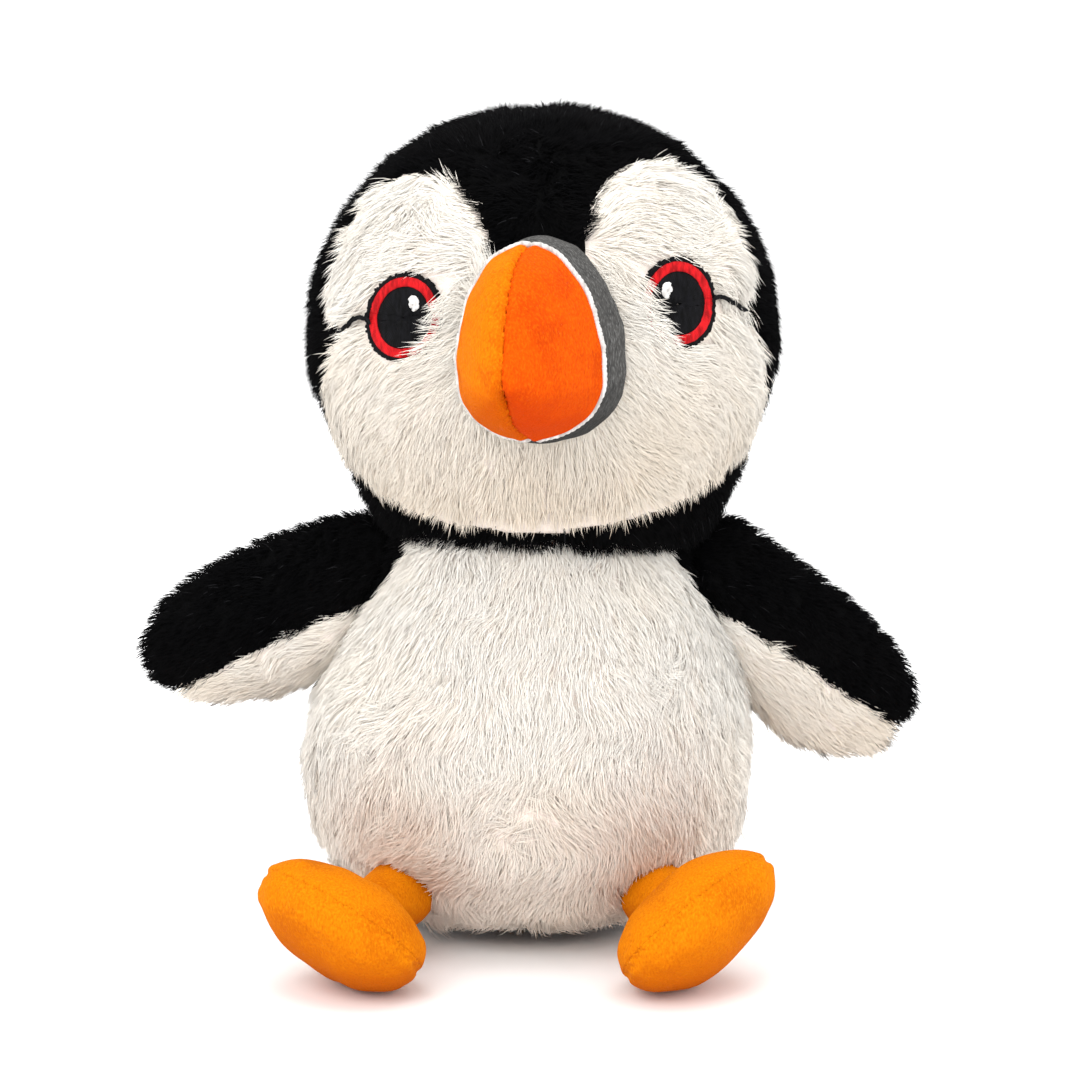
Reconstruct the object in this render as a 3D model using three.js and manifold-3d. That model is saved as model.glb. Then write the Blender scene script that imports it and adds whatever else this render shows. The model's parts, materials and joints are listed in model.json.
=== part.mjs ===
// A sitting plush puffin: a pear-shaped body on a flat base, a big round head that
// nods and turns on the neck, two flippers, two webbed feet and a deep two-colour beak.
// Every fabric panel is a shell as thick as its backing and pile together, and the
// stuffing is a separate solid inside it. Millimetres, +Z up, the face looks along -Y,
// and the origin is on the flat seat.

import * as THREE from 'three';
import { mergeVertices } from 'three/addons/utils/BufferGeometryUtils.js';
import Module from 'manifold-3d';

const wasm = await Module();
wasm.setup();

// ---------------------------------------------------------------- driving dimensions

const seamGap = 0.3; // air between two panels that are sewn together
const runGap = 1.2; // clearance of a rounded root in its socket
const plushDepth = 5.5; // backing and pile of the furry panels
const velboaDepth = 2.6; // backing and nap of the short-napped panels

// Body, measured from the seat
const bodyHalfWidth = 82;
const bodyFront = 74;
const bodyBack = 72;
const bodyWidestAt = 62;
const bodyLean = -4.5; // the belly sags a little to one side of the neck
const seatHalfWidth = 41;
const seatFront = 31;
const seatBack = 46;
const baseSeamHeight = 7;
const shoulderHeight = 124;
const pelletTop = 44; // the bead pouch fills the body up to here

// Neck: a round dome that the hollow under the head rests on
const neckPivotHeight = 111;
const neckDomeRadius = 61;
const neckSeamHeight = 139.5;
const neckPlugBase = 150;

// Head, measured from the level where it is widest
const headCentreHeight = 202;
const headHalfWidth = 83.4;
const headFront = 74;
const headBack = 75;
const headCrown = 83.6; // widest level to crown
const headRim = 62; // widest level down to the rim at the neck
const headRimHalfWidth = 57;
const headRimFront = 54;
const headShift = 6;
const headTilt = -3; // degrees, the head leans to one side

// Beak
const beakHalfWidth = 30.5;
const beakRise = 42.5; // top of the root above the head's widest level
const beakDrop = 28; // bottom of the root below it
const beakLength = 48; // tip beyond the face
const beakBend = 15; // the tip's swing to one side of the root
const beakShift = 2.5; // the root's place to the other side
const beakTipLevel = -2;
const beakBandWidth = 12;
const pipingWidth = 2.4;
const pipingProud = 0.9;

// Embroidered eyes
const eyeSpread = 43.7;
const eyeLevel = 16;
const eyeHalfWidth = 12.6;
const eyeHalfHeight = 15;
const eyeLean = 17; // degrees, tops lean towards the beak
const outlineWidth = 1.3;
const ringWidth = 2.9;
const highlightHalfWidth = 1.9;
const highlightHalfHeight = 2.5;
const highlightIn = 3.8; // towards the beak from the eye's middle
const highlightUp = 4.6;
const embroideryDepth = 2.4; // top of the stitches below the tips of the pile

// Flippers
const wingHeight = 115;
const wingSetBack = 3;
const wingRootRadius = 21.5;
const wingInset = 3; // the shoulder axis sits this far inside the body's side
const wingLength = 82;
const wingAbove = { left: 32, right: 28 }; // shoulder axis to the upper edge
const wingBelow = { left: 29, right: 37 }; // and to the lower edge
const wingBluntAbove = { left: 3, right: 2 }; // 2 is an elliptical tip and more is squarer
const wingBluntBelow = { left: 3, right: 5 };
const wingBluntThrough = 4;
const wingHalfThickness = 15;
const wingShoulder = 17; // the flipper is at full width this far out from the shoulder axis
const wingLeanBack = 12; // degrees
const wingDroop = { left: 18, right: 30 }; // degrees
const wingDip = 8; // degrees the flippers can swing below where they rest
const wingLift = 26; // and above
const wingSeamDrop = { left: 4, right: 6 }; // seam below the flipper's middle, at the shoulder
const wingSeamFall = { left: 7, right: 3 }; // degrees that the seam falls towards the tip

// Feet
const footHalfWidth = 34;
const footLength = 58;
const footHalfThickness = 18;
const footPitch = 33; // degrees, toes up
const footToeOut = 12;
const footRoll = { left: 30, right: 38 };
const footReach = { left: 16, right: 12 }; // sideways from the leg's root
const footForward = 37; // from the leg's root to the middle of the foot
const legSpread = 43;
const legSetIn = 6; // the leg's ball sits this far inside the belly
const legHeight = 21;
const legBallRadius = 13.5;
const legRadius = 9.5;
const legFlare = 2; // wider where it joins the foot
const legGap = 5; // slack of the leg's root in the belly, which the pile covers

// Tail
const tailWidth = 44;
const tailLength = 30;
const tailHalfThickness = 9;
const tailHeight = 26;
const tailRise = 12; // degrees

// Care label
const labelWidth = 18;
const labelLength = 15;
const labelCloth = 0.5;
const labelFoldHeight = 3;

// Facets round each form
const roundSteps = 20; // body and head
const wingSteps = 12;
const footSteps = 14;
const beakSteps = 14;
const eyeSteps = 16;
const legSteps = 10;
const domeSteps = 24;

// ---------------------------------------------------------------- materials

const finish = (color, roughness) => new THREE.MeshStandardMaterial({ color, roughness, metalness: 0 });
const blackPlush = finish(0x0b0b0d, 0.95);
const creamPlush = finish(0xeee6da, 0.95);
const orangeVelboa = finish(0xff7a0a, 0.85);
const goldVelboa = finish(0xf79a14, 0.85);
const greyVelboa = finish(0x6d6f70, 0.85);
const whiteCord = finish(0xe6e2df, 0.8);
const redThread = finish(0xd91418, 0.55);
const blackThread = finish(0x101012, 0.6);
const whiteThread = finish(0xf4f2f0, 0.55);
const fibreFill = finish(0xf2f2ee, 1.0);
const pouchCloth = finish(0xd8d4c8, 0.9);
const satinLabel = finish(0xf7f7f4, 0.5);

// ---------------------------------------------------------------- solid helpers

const radians = THREE.MathUtils.degToRad;

// Turns a closed geometry into a solid that can be joined and cut.
function toSolid(geometry) {
  const bare = new THREE.BufferGeometry();
  bare.setAttribute('position', geometry.getAttribute('position').clone());
  if (geometry.index) bare.setIndex(geometry.index.clone());
  const merged = mergeVertices(bare, 1e-4);
  const corners = merged.index.array;
  const kept = [];
  for (let i = 0; i < corners.length; i += 3) {
    const [a, b, c] = [corners[i], corners[i + 1], corners[i + 2]];
    if (a !== b && b !== c && c !== a) kept.push(a, b, c);
  }
  return new wasm.Manifold(new wasm.Mesh({
    numProp: 3,
    vertProperties: new Float32Array(merged.getAttribute('position').array),
    triVerts: new Uint32Array(kept),
  }));
}

function toGeometry(solid) {
  const mesh = solid.getMesh();
  const geometry = new THREE.BufferGeometry();
  geometry.setAttribute('position', new THREE.BufferAttribute(new Float32Array(mesh.vertProperties), 3));
  geometry.setIndex(new THREE.BufferAttribute(new Uint32Array(mesh.triVerts), 1));
  geometry.computeVertexNormals();
  return geometry;
}

// A closed skin over a stack of rings. The first and last ring are closed by a fan, and
// a ring of one point is a pole.
function loft(rings) {
  const points = [];
  const triangles = [];
  const add = (a, b, c) => triangles.push(a, b, c);
  const starts = rings.map((ring) => points.push(...ring) - ring.length);
  for (let r = 0; r + 1 < rings.length; r += 1) {
    const [low, high] = [rings[r], rings[r + 1]];
    const steps = Math.max(low.length, high.length);
    for (let i = 0; i < steps; i += 1) {
      const j = (i + 1) % steps;
      const a = starts[r] + (low.length > 1 ? i : 0);
      const b = starts[r] + (low.length > 1 ? j : 0);
      const c = starts[r + 1] + (high.length > 1 ? j : 0);
      const d = starts[r + 1] + (high.length > 1 ? i : 0);
      if (a !== b) add(a, b, c);
      if (c !== d) add(a, c, d);
    }
  }
  const closeEnd = (ring, start, flip) => {
    if (ring.length === 1) return;
    const middle = ring.reduce((sum, p) => sum.add(p), new THREE.Vector3()).divideScalar(ring.length);
    const hub = points.push(middle) - 1;
    for (let i = 0; i < ring.length; i += 1) {
      const j = (i + 1) % ring.length;
      if (flip) add(hub, start + j, start + i);
      else add(hub, start + i, start + j);
    }
  };
  closeEnd(rings[0], starts[0], true);
  closeEnd(rings.at(-1), starts.at(-1), false);
  let volume = 0;
  for (let i = 0; i < triangles.length; i += 3) {
    const [a, b, c] = [points[triangles[i]], points[triangles[i + 1]], points[triangles[i + 2]]];
    volume += a.dot(b.clone().cross(c));
  }
  if (volume < 0) triangles.reverse();
  const geometry = new THREE.BufferGeometry().setFromPoints(points);
  geometry.setIndex(triangles);
  return geometry;
}

// A ring in a level plane, with its own half width, front depth and back depth.
function levelRing(section, z, steps) {
  if (section.half <= 0.01) return [new THREE.Vector3(section.x, 0, z)];
  return Array.from({ length: steps }, (_, i) => {
    const angle = (2 * Math.PI * i) / steps;
    const depth = Math.cos(angle) > 0 ? section.front : section.back;
    return new THREE.Vector3(section.x + section.half * Math.sin(angle), -depth * Math.cos(angle), z);
  });
}

function boxBetween(low, high) {
  const size = new THREE.Vector3().subVectors(high, low);
  const box = new THREE.BoxGeometry(size.x, size.y, size.z);
  box.translate(low.x + size.x / 2, low.y + size.y / 2, low.z + size.z / 2);
  return toSolid(box);
}

const far = 400;
const above = (z) => boxBetween(new THREE.Vector3(-far, -far, z), new THREE.Vector3(far, far, far));
const below = (z) => boxBetween(new THREE.Vector3(-far, -far, -far), new THREE.Vector3(far, far, z));
const leftOf = (x) => boxBetween(new THREE.Vector3(-far, -far, -far), new THREE.Vector3(x, far, far));
const rightOf = (x) => boxBetween(new THREE.Vector3(x, -far, -far), new THREE.Vector3(far, far, far));
const aheadOf = (y) => boxBetween(new THREE.Vector3(-far, -far, -far), new THREE.Vector3(far, y, far));
const behind = (y) => boxBetween(new THREE.Vector3(-far, y, -far), new THREE.Vector3(far, far, far));

// A flat outline, moved outwards by grow, as a list of points in the order given.
function grown(outline, grow) {
  const area = THREE.ShapeUtils.area(outline);
  const side = Math.sign(area) * grow;
  return outline.map((point, i) => {
    const before = outline[(i + outline.length - 1) % outline.length];
    const after = outline[(i + 1) % outline.length];
    const along = new THREE.Vector2().subVectors(after, before).normalize();
    return new THREE.Vector2(point.x + along.y * side, point.y - along.x * side);
  });
}

// An outline seen from the front, run back from far ahead of the object to y = 0.
function frontPrism(outline, grow = 0) {
  const shape = new THREE.Shape(grown(outline, grow));
  const prism = new THREE.ExtrudeGeometry(shape, { depth: far, bevelEnabled: false, curveSegments: 1 });
  prism.rotateX(Math.PI / 2);
  return toSolid(prism);
}

// An outline seen from the side, run right through the object along X.
function sidePrism(outline, grow = 0) {
  const shape = new THREE.Shape(grown(outline, grow));
  const prism = new THREE.ExtrudeGeometry(shape, { depth: 2 * far, bevelEnabled: false, curveSegments: 1 });
  prism.translate(0, 0, -far);
  prism.rotateX(Math.PI / 2);
  prism.rotateZ(Math.PI / 2);
  return toSolid(prism);
}

const corner = ([x, y]) => new THREE.Vector2(x, y);

function smooth(points, perStep) {
  const curve = new THREE.SplineCurve(points.map(corner));
  return curve.getPoints((points.length - 1) * perStep);
}

function ellipse(x, y, halfWidth, halfHeight, lean, steps) {
  const curve = new THREE.EllipseCurve(x, y, halfWidth, halfHeight, 0, 2 * Math.PI, false, lean);
  return curve.getPoints(steps).slice(0, steps);
}

function piece(name, solid, material) {
  const mesh = new THREE.Mesh(toGeometry(solid), material);
  mesh.name = name;
  return mesh;
}

const mirrored = (outline) => outline.map((p) => new THREE.Vector2(-p.x, p.y));
const sides = [['left', -1], ['right', 1]];

// Half depth of a rounded form: full at the middle, down to edge at reach away.
function swell(full, edge, away, reach, fullness) {
  const span = reach / (1 - (edge / full) ** 2) ** (1 / fullness);
  return full * Math.sqrt(Math.max(0, 1 - (away / span) ** fullness));
}

// ---------------------------------------------------------------- body

const domeRadiusAt = (z) => Math.sqrt(Math.max(0, neckDomeRadius ** 2 - (z - neckPivotHeight) ** 2));

function bodySection(z, inset) {
  const shoulder = domeRadiusAt(shoulderHeight);
  const size = (full, seat) => {
    if (z >= shoulderHeight) return domeRadiusAt(z) - inset;
    if (z < bodyWidestAt) return swell(full, seat, bodyWidestAt - z, bodyWidestAt, 2.9) - inset;
    return swell(full, shoulder, z - bodyWidestAt, shoulderHeight - bodyWidestAt, 1.85) - inset;
  };
  const lean = bodyLean * THREE.MathUtils.smoothstep(shoulderHeight - z, 0, shoulderHeight - bodyWidestAt);
  return {
    x: lean,
    half: size(bodyHalfWidth, seatHalfWidth),
    front: size(bodyFront, seatFront),
    back: size(bodyBack, seatBack),
  };
}

const bodyRingHeights = [0, 0.1, 0.28, 0.58, 1].map((t) => t * bodyWidestAt)
  .concat([0.4, 0.72, 1].map((t) => bodyWidestAt + t * (shoulderHeight - bodyWidestAt)))
  .concat([neckSeamHeight, neckPlugBase]);

// The body's form with its walls drawn in by inset, open levels as in the list above.
function bodyForm(inset) {
  const top = bodyRingHeights.at(-1);
  return toSolid(loft(bodyRingHeights.map((z) => {
    const level = inset + (z * (top - inset)) / top;
    return levelRing(bodySection(z, inset), level, roundSteps);
  })));
}

function domeSolid(radius, x, z) {
  const ball = new THREE.SphereGeometry(radius, domeSteps, Math.round(domeSteps * 0.6));
  ball.rotateX(Math.PI / 2);
  ball.translate(x, 0, z);
  return toSolid(ball);
}

// The flippers' roots turn in round armholes, and the legs' balls in round sockets.
const shoulders = sides.map(([name, side]) => {
  const shoulder = new THREE.Group();
  const { x, half: reach } = bodySection(wingHeight, 0);
  shoulder.rotation.order = 'YXZ';
  shoulder.rotation.set(radians(-wingLeanBack), side * radians(wingDroop[name]), 0);
  shoulder.position.set(x + side * (reach - wingInset), wingSetBack, wingHeight);
  shoulder.updateMatrix();
  return shoulder;
});
const armholes = shoulders.map((shoulder) => {
  const width = 2 * (wingHalfThickness + runGap);
  const hole = new THREE.CylinderGeometry(wingRootRadius + runGap, wingRootRadius + runGap, width, 2 * wingSteps);
  hole.applyMatrix4(shoulder.matrix);
  return toSolid(hole);
});

const legSection = bodySection(legHeight, 0);
const legDepth = legSection.front * Math.sqrt(1 - (legSpread / legSection.half) ** 2) - legSetIn;
const legRoot = (side) => new THREE.Vector3(legSection.x + side * legSpread, -legDepth, legHeight);
const legSockets = sides.map(([, side]) => {
  const ball = new THREE.SphereGeometry(legBallRadius + legGap, 14, 9);
  const place = legRoot(side);
  ball.translate(place.x, place.y, place.z);
  return toSolid(ball);
});

const hollowed = (solid) => [...armholes, ...legSockets].reduce((rest, hole) => rest.subtract(hole), solid);

const bodySkin = hollowed(bodyForm(0).subtract(bodyForm(plushDepth)));
const bodyCore = hollowed(bodyForm(plushDepth + seamGap));

// Side seam between the cream belly and the black back, seen from the side.
const sideSeam = smooth([[-24, 142], [-20, 124], [-15, 108], [-4, 90], [8, 70], [11, 46], [5, 22], [-2, 4]], 1);
const bellySide = [...sideSeam, corner([-2, -far]), corner([-far, -far]), corner([-far, far]), corner([-24, far])];

const half = seamGap / 2;
const aboveBase = bodySkin.intersect(above(baseSeamHeight + half)).intersect(below(neckSeamHeight));
const body = new THREE.Group();
body.add(piece('belly_panel', aboveBase.intersect(sidePrism(bellySide, -half)), creamPlush));
const backCloth = aboveBase.subtract(sidePrism(bellySide, half));
body.add(piece('back_panel_left', backCloth.intersect(leftOf(-half)), blackPlush));
body.add(piece('back_panel_right', backCloth.intersect(rightOf(half)), blackPlush));
body.add(piece('base_panel', bodySkin.intersect(below(baseSeamHeight - half)), blackPlush));

const domeShelf = domeSolid(neckDomeRadius, 0, neckPivotHeight)
  .intersect(above(neckSeamHeight + seamGap))
  .intersect(below(neckPlugBase - seamGap));
const fibre = bodyCore.intersect(above(pelletTop + half)).intersect(below(neckPlugBase - seamGap));
body.add(piece('body_stuffing', fibre.add(domeShelf), fibreFill));
body.add(piece('pellet_pouch', bodyCore.intersect(below(pelletTop - half)), pouchCloth));

// ---------------------------------------------------------------- tail and label

// A flat round-ended wedge at the foot of the back, with its root against the body.
function tailForm(inset) {
  const rings = [-0.3, 0, 0.3, 0.6, 0.85, 1].map((t) => {
    const shrink = t <= 0 ? 1 : Math.sqrt(1 - t ** 3);
    const y = t < 1 ? t * (tailLength - inset) : tailLength - inset;
    if (t === 1) return [new THREE.Vector3(0, y, 0)];
    const wide = (tailWidth / 2) * shrink - inset;
    const thick = tailHalfThickness * shrink - inset;
    return Array.from({ length: 14 }, (_, i) => {
      const angle = (2 * Math.PI * i) / 14;
      return new THREE.Vector3(wide * Math.cos(angle), y, thick * Math.sin(angle));
    });
  });
  return toSolid(loft(rings));
}

const tailSection = bodySection(tailHeight, 0);
const bodyClear = toSolid(loft(bodyRingHeights.map((z) => levelRing(bodySection(z, -seamGap), z, roundSteps))));
const tailRoot = new THREE.Vector3(tailSection.x, tailSection.back - 2, tailHeight);
const tailMatrix = new THREE.Matrix4()
  .makeRotationX(radians(tailRise))
  .setPosition(tailRoot);
const inBody = (solid, matrix) => {
  const geometry = toGeometry(solid);
  geometry.applyMatrix4(matrix);
  return toSolid(geometry);
};
const tailCover = tailForm(0).subtract(tailForm(plushDepth - 1));
const tailFill = tailForm(plushDepth - 1 + seamGap);
const tailPiece = (name, solid, material) => body.add(piece(name, inBody(solid, tailMatrix).subtract(bodyClear), material));
tailPiece('tail_top', tailCover.intersect(above(half)), blackPlush);
tailPiece('tail_underside', tailCover.intersect(below(-half)), blackPlush);
tailPiece('tail_stuffing', tailFill, fibreFill);

// A folded strip of satin ribbon sewn into the seam beside the tail.
const labelBend = labelFoldHeight / 3;
const labelFold = new THREE.Shape([
  [0, 0], [labelLength - labelBend, 0], [labelLength, labelBend], [labelLength, 2 * labelBend],
  [labelLength - labelBend, labelFoldHeight], [0, labelFoldHeight],
  [0, labelFoldHeight - labelCloth], [labelLength - labelBend - labelCloth, labelFoldHeight - labelCloth],
  [labelLength - labelCloth, 2 * labelBend], [labelLength - labelCloth, labelBend],
  [labelLength - labelBend - labelCloth, labelCloth], [0, labelCloth],
].map(corner));
const ribbon = new THREE.ExtrudeGeometry(labelFold, { depth: labelWidth, bevelEnabled: false });
ribbon.rotateY(-Math.PI / 2);
ribbon.rotateZ(Math.PI);
ribbon.rotateX(-Math.PI / 2);
const labelSide = tailWidth / 2 + 6;
const labelPlace = bodySection(tailHeight, 0);
const labelDepth = labelPlace.back * Math.sqrt(1 - (labelSide / labelPlace.half) ** 2);
ribbon.translate(labelPlace.x + labelSide, labelDepth - 3, tailHeight);
body.add(piece('care_label', toSolid(ribbon).subtract(bodyClear), satinLabel));

// ---------------------------------------------------------------- neck

const neckPlug = domeSolid(neckDomeRadius, 0, neckPivotHeight).intersect(above(neckPlugBase + seamGap));
const neck = new THREE.Group();
neck.add(piece('neck_stuffing', neckPlug, fibreFill));

// ---------------------------------------------------------------- head

// The head is drawn about its own widest level, and then leans over on the neck.
function headSection(z, inset) {
  const size = (full, rim, fullness) => (z >= 0
    ? full * Math.sqrt(Math.max(0, 1 - (z / headCrown) ** 2.2))
    : swell(full, rim, -z, headRim, fullness)) - inset;
  return {
    x: 0,
    half: z >= headCrown ? 0 : size(headHalfWidth, headRimHalfWidth, 1.55),
    front: size(headFront, headRimFront, 1.8),
    back: size(headBack, headRimFront, 1.8),
  };
}

const headRingHeights = [-1.16, -0.97, -0.71, -0.45, -0.21].map((t) => t * headRim)
  .concat([0, 18, 36, 52, 66, 78, 90].map((angle) => headCrown * Math.sin(radians(angle))));

function headForm(inset) {
  return toSolid(loft(headRingHeights.map((z) => {
    const level = z > 0 ? (z * (headCrown - inset)) / headCrown : z;
    return levelRing(headSection(z, z >= headCrown ? 0 : inset), level, roundSteps);
  })));
}

const neckHollow = domeSolid(neckDomeRadius + runGap, -headShift, neckPivotHeight - headCentreHeight);
const headCover = headForm(0).subtract(headForm(plushDepth)).subtract(neckHollow);

// Face patches as seen from the front, right-hand side; the left is their mirror image.
const notch = [65, 11];
const lashBend = [59.5, 15.4];
const eyeCorner = [eyeSpread + eyeHalfWidth - 0.6, eyeLevel + 0.6];
const cheekSeam = [notch, lashBend, eyeCorner, [eyeSpread, eyeLevel], [28, 13], [8, 12]].map(corner);
const browEdge = smooth([[8, 12], [12, 26], [16, 41], [19, 51], [24, 57.5], [32, 61], [42, 61.5], [52, 57],
  [60, 49], [66, 38], [70, 28], [72, 20], [70.5, 14.5], notch], 1);
const cheekEdge = smooth([notch, [70, 5], [73, -2], [73.8, -10], [73.5, -18], [71, -29], [66, -37.5],
  [58, -44], [46, -49.5], [33, -53], [18, -55.5], [0, -56.5]], 1);
const browPatch = [...browEdge, ...cheekSeam.slice(1, -1)];
const cheekPatch = [...cheekEdge, corner([-6, -56.5]), corner([-6, 12]), ...cheekSeam.slice(1).reverse()];

const eyeOf = (side, shrink) => ellipse(side * eyeSpread, eyeLevel, eyeHalfWidth - shrink, eyeHalfHeight - shrink,
  side * radians(eyeLean), eyeSteps);
const highlightOf = (side) => ellipse(side * (eyeSpread - highlightIn), eyeLevel + highlightUp, highlightHalfWidth,
  highlightHalfHeight, side * radians(eyeLean), eyeSteps / 2);

// The dark stitched line that runs from the corner of the eye out to the cheek notch.
const lashMiddle = [eyeCorner, lashBend, notch].map(corner);
const lashWidth = 1.8;
const lashLine = [...grownSide(lashMiddle, lashWidth / 2), ...grownSide(lashMiddle, -lashWidth / 2).reverse()];

function grownSide(line, offset) {
  return line.map((point, i) => {
    const along = new THREE.Vector2()
      .subVectors(line[Math.min(i + 1, line.length - 1)], line[Math.max(i - 1, 0)])
      .normalize();
    return new THREE.Vector2(point.x - along.y * offset, point.y + along.x * offset);
  });
}

const stitchShell = headForm(embroideryDepth).subtract(headForm(plushDepth));
const head = new THREE.Group();
const eyePockets = [];
for (const [name, side] of sides) {
  const facing = side > 0 ? (outline) => outline : mirrored;
  const eyePrism = (shrink) => frontPrism(eyeOf(side, shrink));
  const ownHalf = side > 0 ? rightOf(half) : leftOf(-half);
  const eyeHole = eyePrism(-half);
  const lashHole = frontPrism(facing(lashLine), half);
  const patch = (outline) => headCover.intersect(frontPrism(facing(outline), -half))
    .intersect(ownHalf)
    .subtract(eyeHole)
    .subtract(lashHole);
  head.add(piece(`face_upper_${name}`, patch(browPatch), creamPlush));
  head.add(piece(`face_lower_${name}`, patch(cheekPatch), creamPlush));
  eyePockets.push(eyeHole, lashHole);

  const ringEdge = outlineWidth;
  const pupilEdge = outlineWidth + ringWidth;
  const highlight = frontPrism(highlightOf(side));
  const stitched = (outer, inner) => stitchShell.intersect(eyePrism(outer)).subtract(inner);
  head.add(piece(`eye_outline_${name}`, stitched(half, eyePrism(ringEdge)), blackThread));
  head.add(piece(`eye_ring_${name}`, stitched(ringEdge + seamGap, eyePrism(pupilEdge)), redThread));
  head.add(piece(`eye_pupil_${name}`, stitched(pupilEdge + seamGap, frontPrism(highlightOf(side), seamGap)), blackThread));
  head.add(piece(`eye_highlight_${name}`, stitchShell.intersect(highlight), whiteThread));
  const lash = stitchShell.intersect(frontPrism(facing(lashLine))).subtract(eyePrism(-seamGap));
  head.add(piece(`eye_line_${name}`, lash, blackThread));
}
for (const [name, side] of sides) {
  const facing = side > 0 ? (outline) => outline : mirrored;
  const bothPatches = frontPrism(facing(browPatch), half).add(frontPrism(facing(cheekPatch), half));
  const acrossSeam = frontPrism(facing(cheekPatch).map((p) => new THREE.Vector2(-p.x, p.y)), half);
  const cloth = eyePockets.reduce((rest, hole) => rest.subtract(hole), headCover)
    .intersect(side > 0 ? rightOf(half) : leftOf(-half))
    .subtract(bothPatches)
    .subtract(acrossSeam);
  head.add(piece(`head_panel_${name}`, cloth, blackPlush));
}
head.add(piece('head_stuffing', headForm(plushDepth + seamGap).subtract(neckHollow), fibreFill));

// ---------------------------------------------------------------- beak

const beakRootY = -(headFront - 16);
const beakTipY = -(headFront + beakLength);

function beakForm(inset, out = 0) {
  const tip = beakTipY + inset - out;
  const rings = [0, 0.3, 0.5, 0.68, 0.84, 0.95, 1].map((t) => {
    const y = beakRootY + t * (tip - beakRootY);
    const x = beakShift - beakBend * t ** 1.1;
    if (t === 1) return [new THREE.Vector3(x, y, beakTipLevel)];
    const wide = beakHalfWidth * (1 - t ** 1.5) ** 0.62 - inset + out;
    const rise = (beakRise - beakTipLevel) * (1 - t ** 4) ** 0.7 - inset + out;
    const drop = (beakDrop + beakTipLevel) * (1 - t ** 1.6) ** 0.6 - inset + out;
    return Array.from({ length: beakSteps }, (_, i) => {
      const angle = (2 * Math.PI * i) / beakSteps;
      const tall = Math.cos(angle) > 0 ? rise : drop;
      return new THREE.Vector3(x + wide * Math.sin(angle), y, beakTipLevel + tall * Math.cos(angle));
    });
  });
  return toSolid(loft(rings));
}

const faceClear = headForm(-seamGap);
const beakCover = beakForm(0).subtract(beakForm(velboaDepth)).subtract(faceClear);
const bandEdge = -headFront - beakBandWidth;
const pipingEdge = bandEdge - pipingWidth;
for (const [name, side] of sides) {
  const ownHalf = (solid, x) => solid.intersect(side > 0 ? rightOf(x + half) : leftOf(x - half));
  const seamX = beakShift - beakBend * 0.5;
  head.add(piece(`beak_band_${name}`, ownHalf(beakCover.intersect(behind(bandEdge + half)), -1), greyVelboa));
  head.add(piece(`beak_panel_${name}`, ownHalf(beakCover.intersect(aheadOf(pipingEdge - half)), seamX), orangeVelboa));
}
const pipingRing = beakForm(0, pipingProud).subtract(beakForm(velboaDepth))
  .intersect(behind(pipingEdge + half)).intersect(aheadOf(bandEdge - half));
head.add(piece('beak_piping', pipingRing, whiteCord));
head.add(piece('beak_stuffing', beakForm(velboaDepth + seamGap).subtract(faceClear), fibreFill));

head.position.set(headShift, 0, headCentreHeight - neckPivotHeight);
const headLean = new THREE.Group();
headLean.add(head);
headLean.position.set(0, 0, neckPivotHeight);
headLean.rotation.y = radians(headTilt);

// ---------------------------------------------------------------- flippers

// Drawn along X from the shoulder axis, with a root that is round about that axis.
function wingForm(name, side, inset) {
  const tip = (s, bluntness) => (s < 0 ? Math.sqrt(1 - (s / wingRootRadius) ** 2)
    : Math.sqrt(1 - (s / wingLength) ** bluntness));
  const stations = [-1, -0.85, -0.5, 0].map((t) => t * wingRootRadius)
    .concat([0.1, 0.2, 0.36, 0.55, 0.75, 0.9, 0.97, 1].map((t) => t * wingLength));
  const rings = stations.map((s, i) => {
    const last = i === 0 || i === stations.length - 1;
    const along = s < 0 ? s + inset * (-s / wingRootRadius) : s - inset * (s / wingLength);
    if (last) return [new THREE.Vector3(side * along, 0, 0)];
    const widen = (full) => THREE.MathUtils.lerp(wingRootRadius, full, THREE.MathUtils.smoothstep(s, 0, wingShoulder));
    const above = widen(wingAbove[name]) * tip(s, wingBluntAbove[name]) - inset;
    const below = widen(wingBelow[name]) * tip(s, wingBluntBelow[name]) - inset;
    const thick = wingHalfThickness * tip(s, wingBluntThrough) - inset;
    return Array.from({ length: wingSteps }, (_, k) => {
      const angle = (2 * Math.PI * k) / wingSteps;
      const reach = Math.cos(angle) > 0 ? above : below;
      return new THREE.Vector3(side * along, thick * Math.sin(angle), reach * Math.cos(angle));
    });
  });
  return toSolid(loft(rings));
}

// The seam between the black top and the cream underside falls away towards the tip.
function underWing(name, side, shift) {
  const slab = new THREE.BoxGeometry(4 * far, 4 * far, far);
  slab.translate(0, 0, -far / 2 - wingSeamDrop[name] + shift);
  slab.rotateY(side * radians(wingSeamFall[name]));
  return toSolid(slab);
}

// Beyond the round root, each flipper is cut back to clear the body all through its swing.
const bodyGrown = toSolid(loft(bodyRingHeights.map((z) => levelRing(bodySection(z, -runGap), z, roundSteps))));
const swing = [-wingDip, 0, wingLift / 3, (2 * wingLift) / 3, wingLift];

function clearOfBody(solid, shoulder, side) {
  const root = new THREE.CylinderGeometry(wingRootRadius + half, wingRootRadius + half, far, 2 * wingSteps);
  const settled = toGeometry(bodyGrown);
  settled.applyMatrix4(shoulder.matrix.clone().invert());
  return swing.reduce((rest, angle) => {
    const turned = settled.clone();
    turned.rotateY(side * radians(angle));
    return rest.subtract(toSolid(turned).subtract(toSolid(root)));
  }, solid);
}

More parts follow.
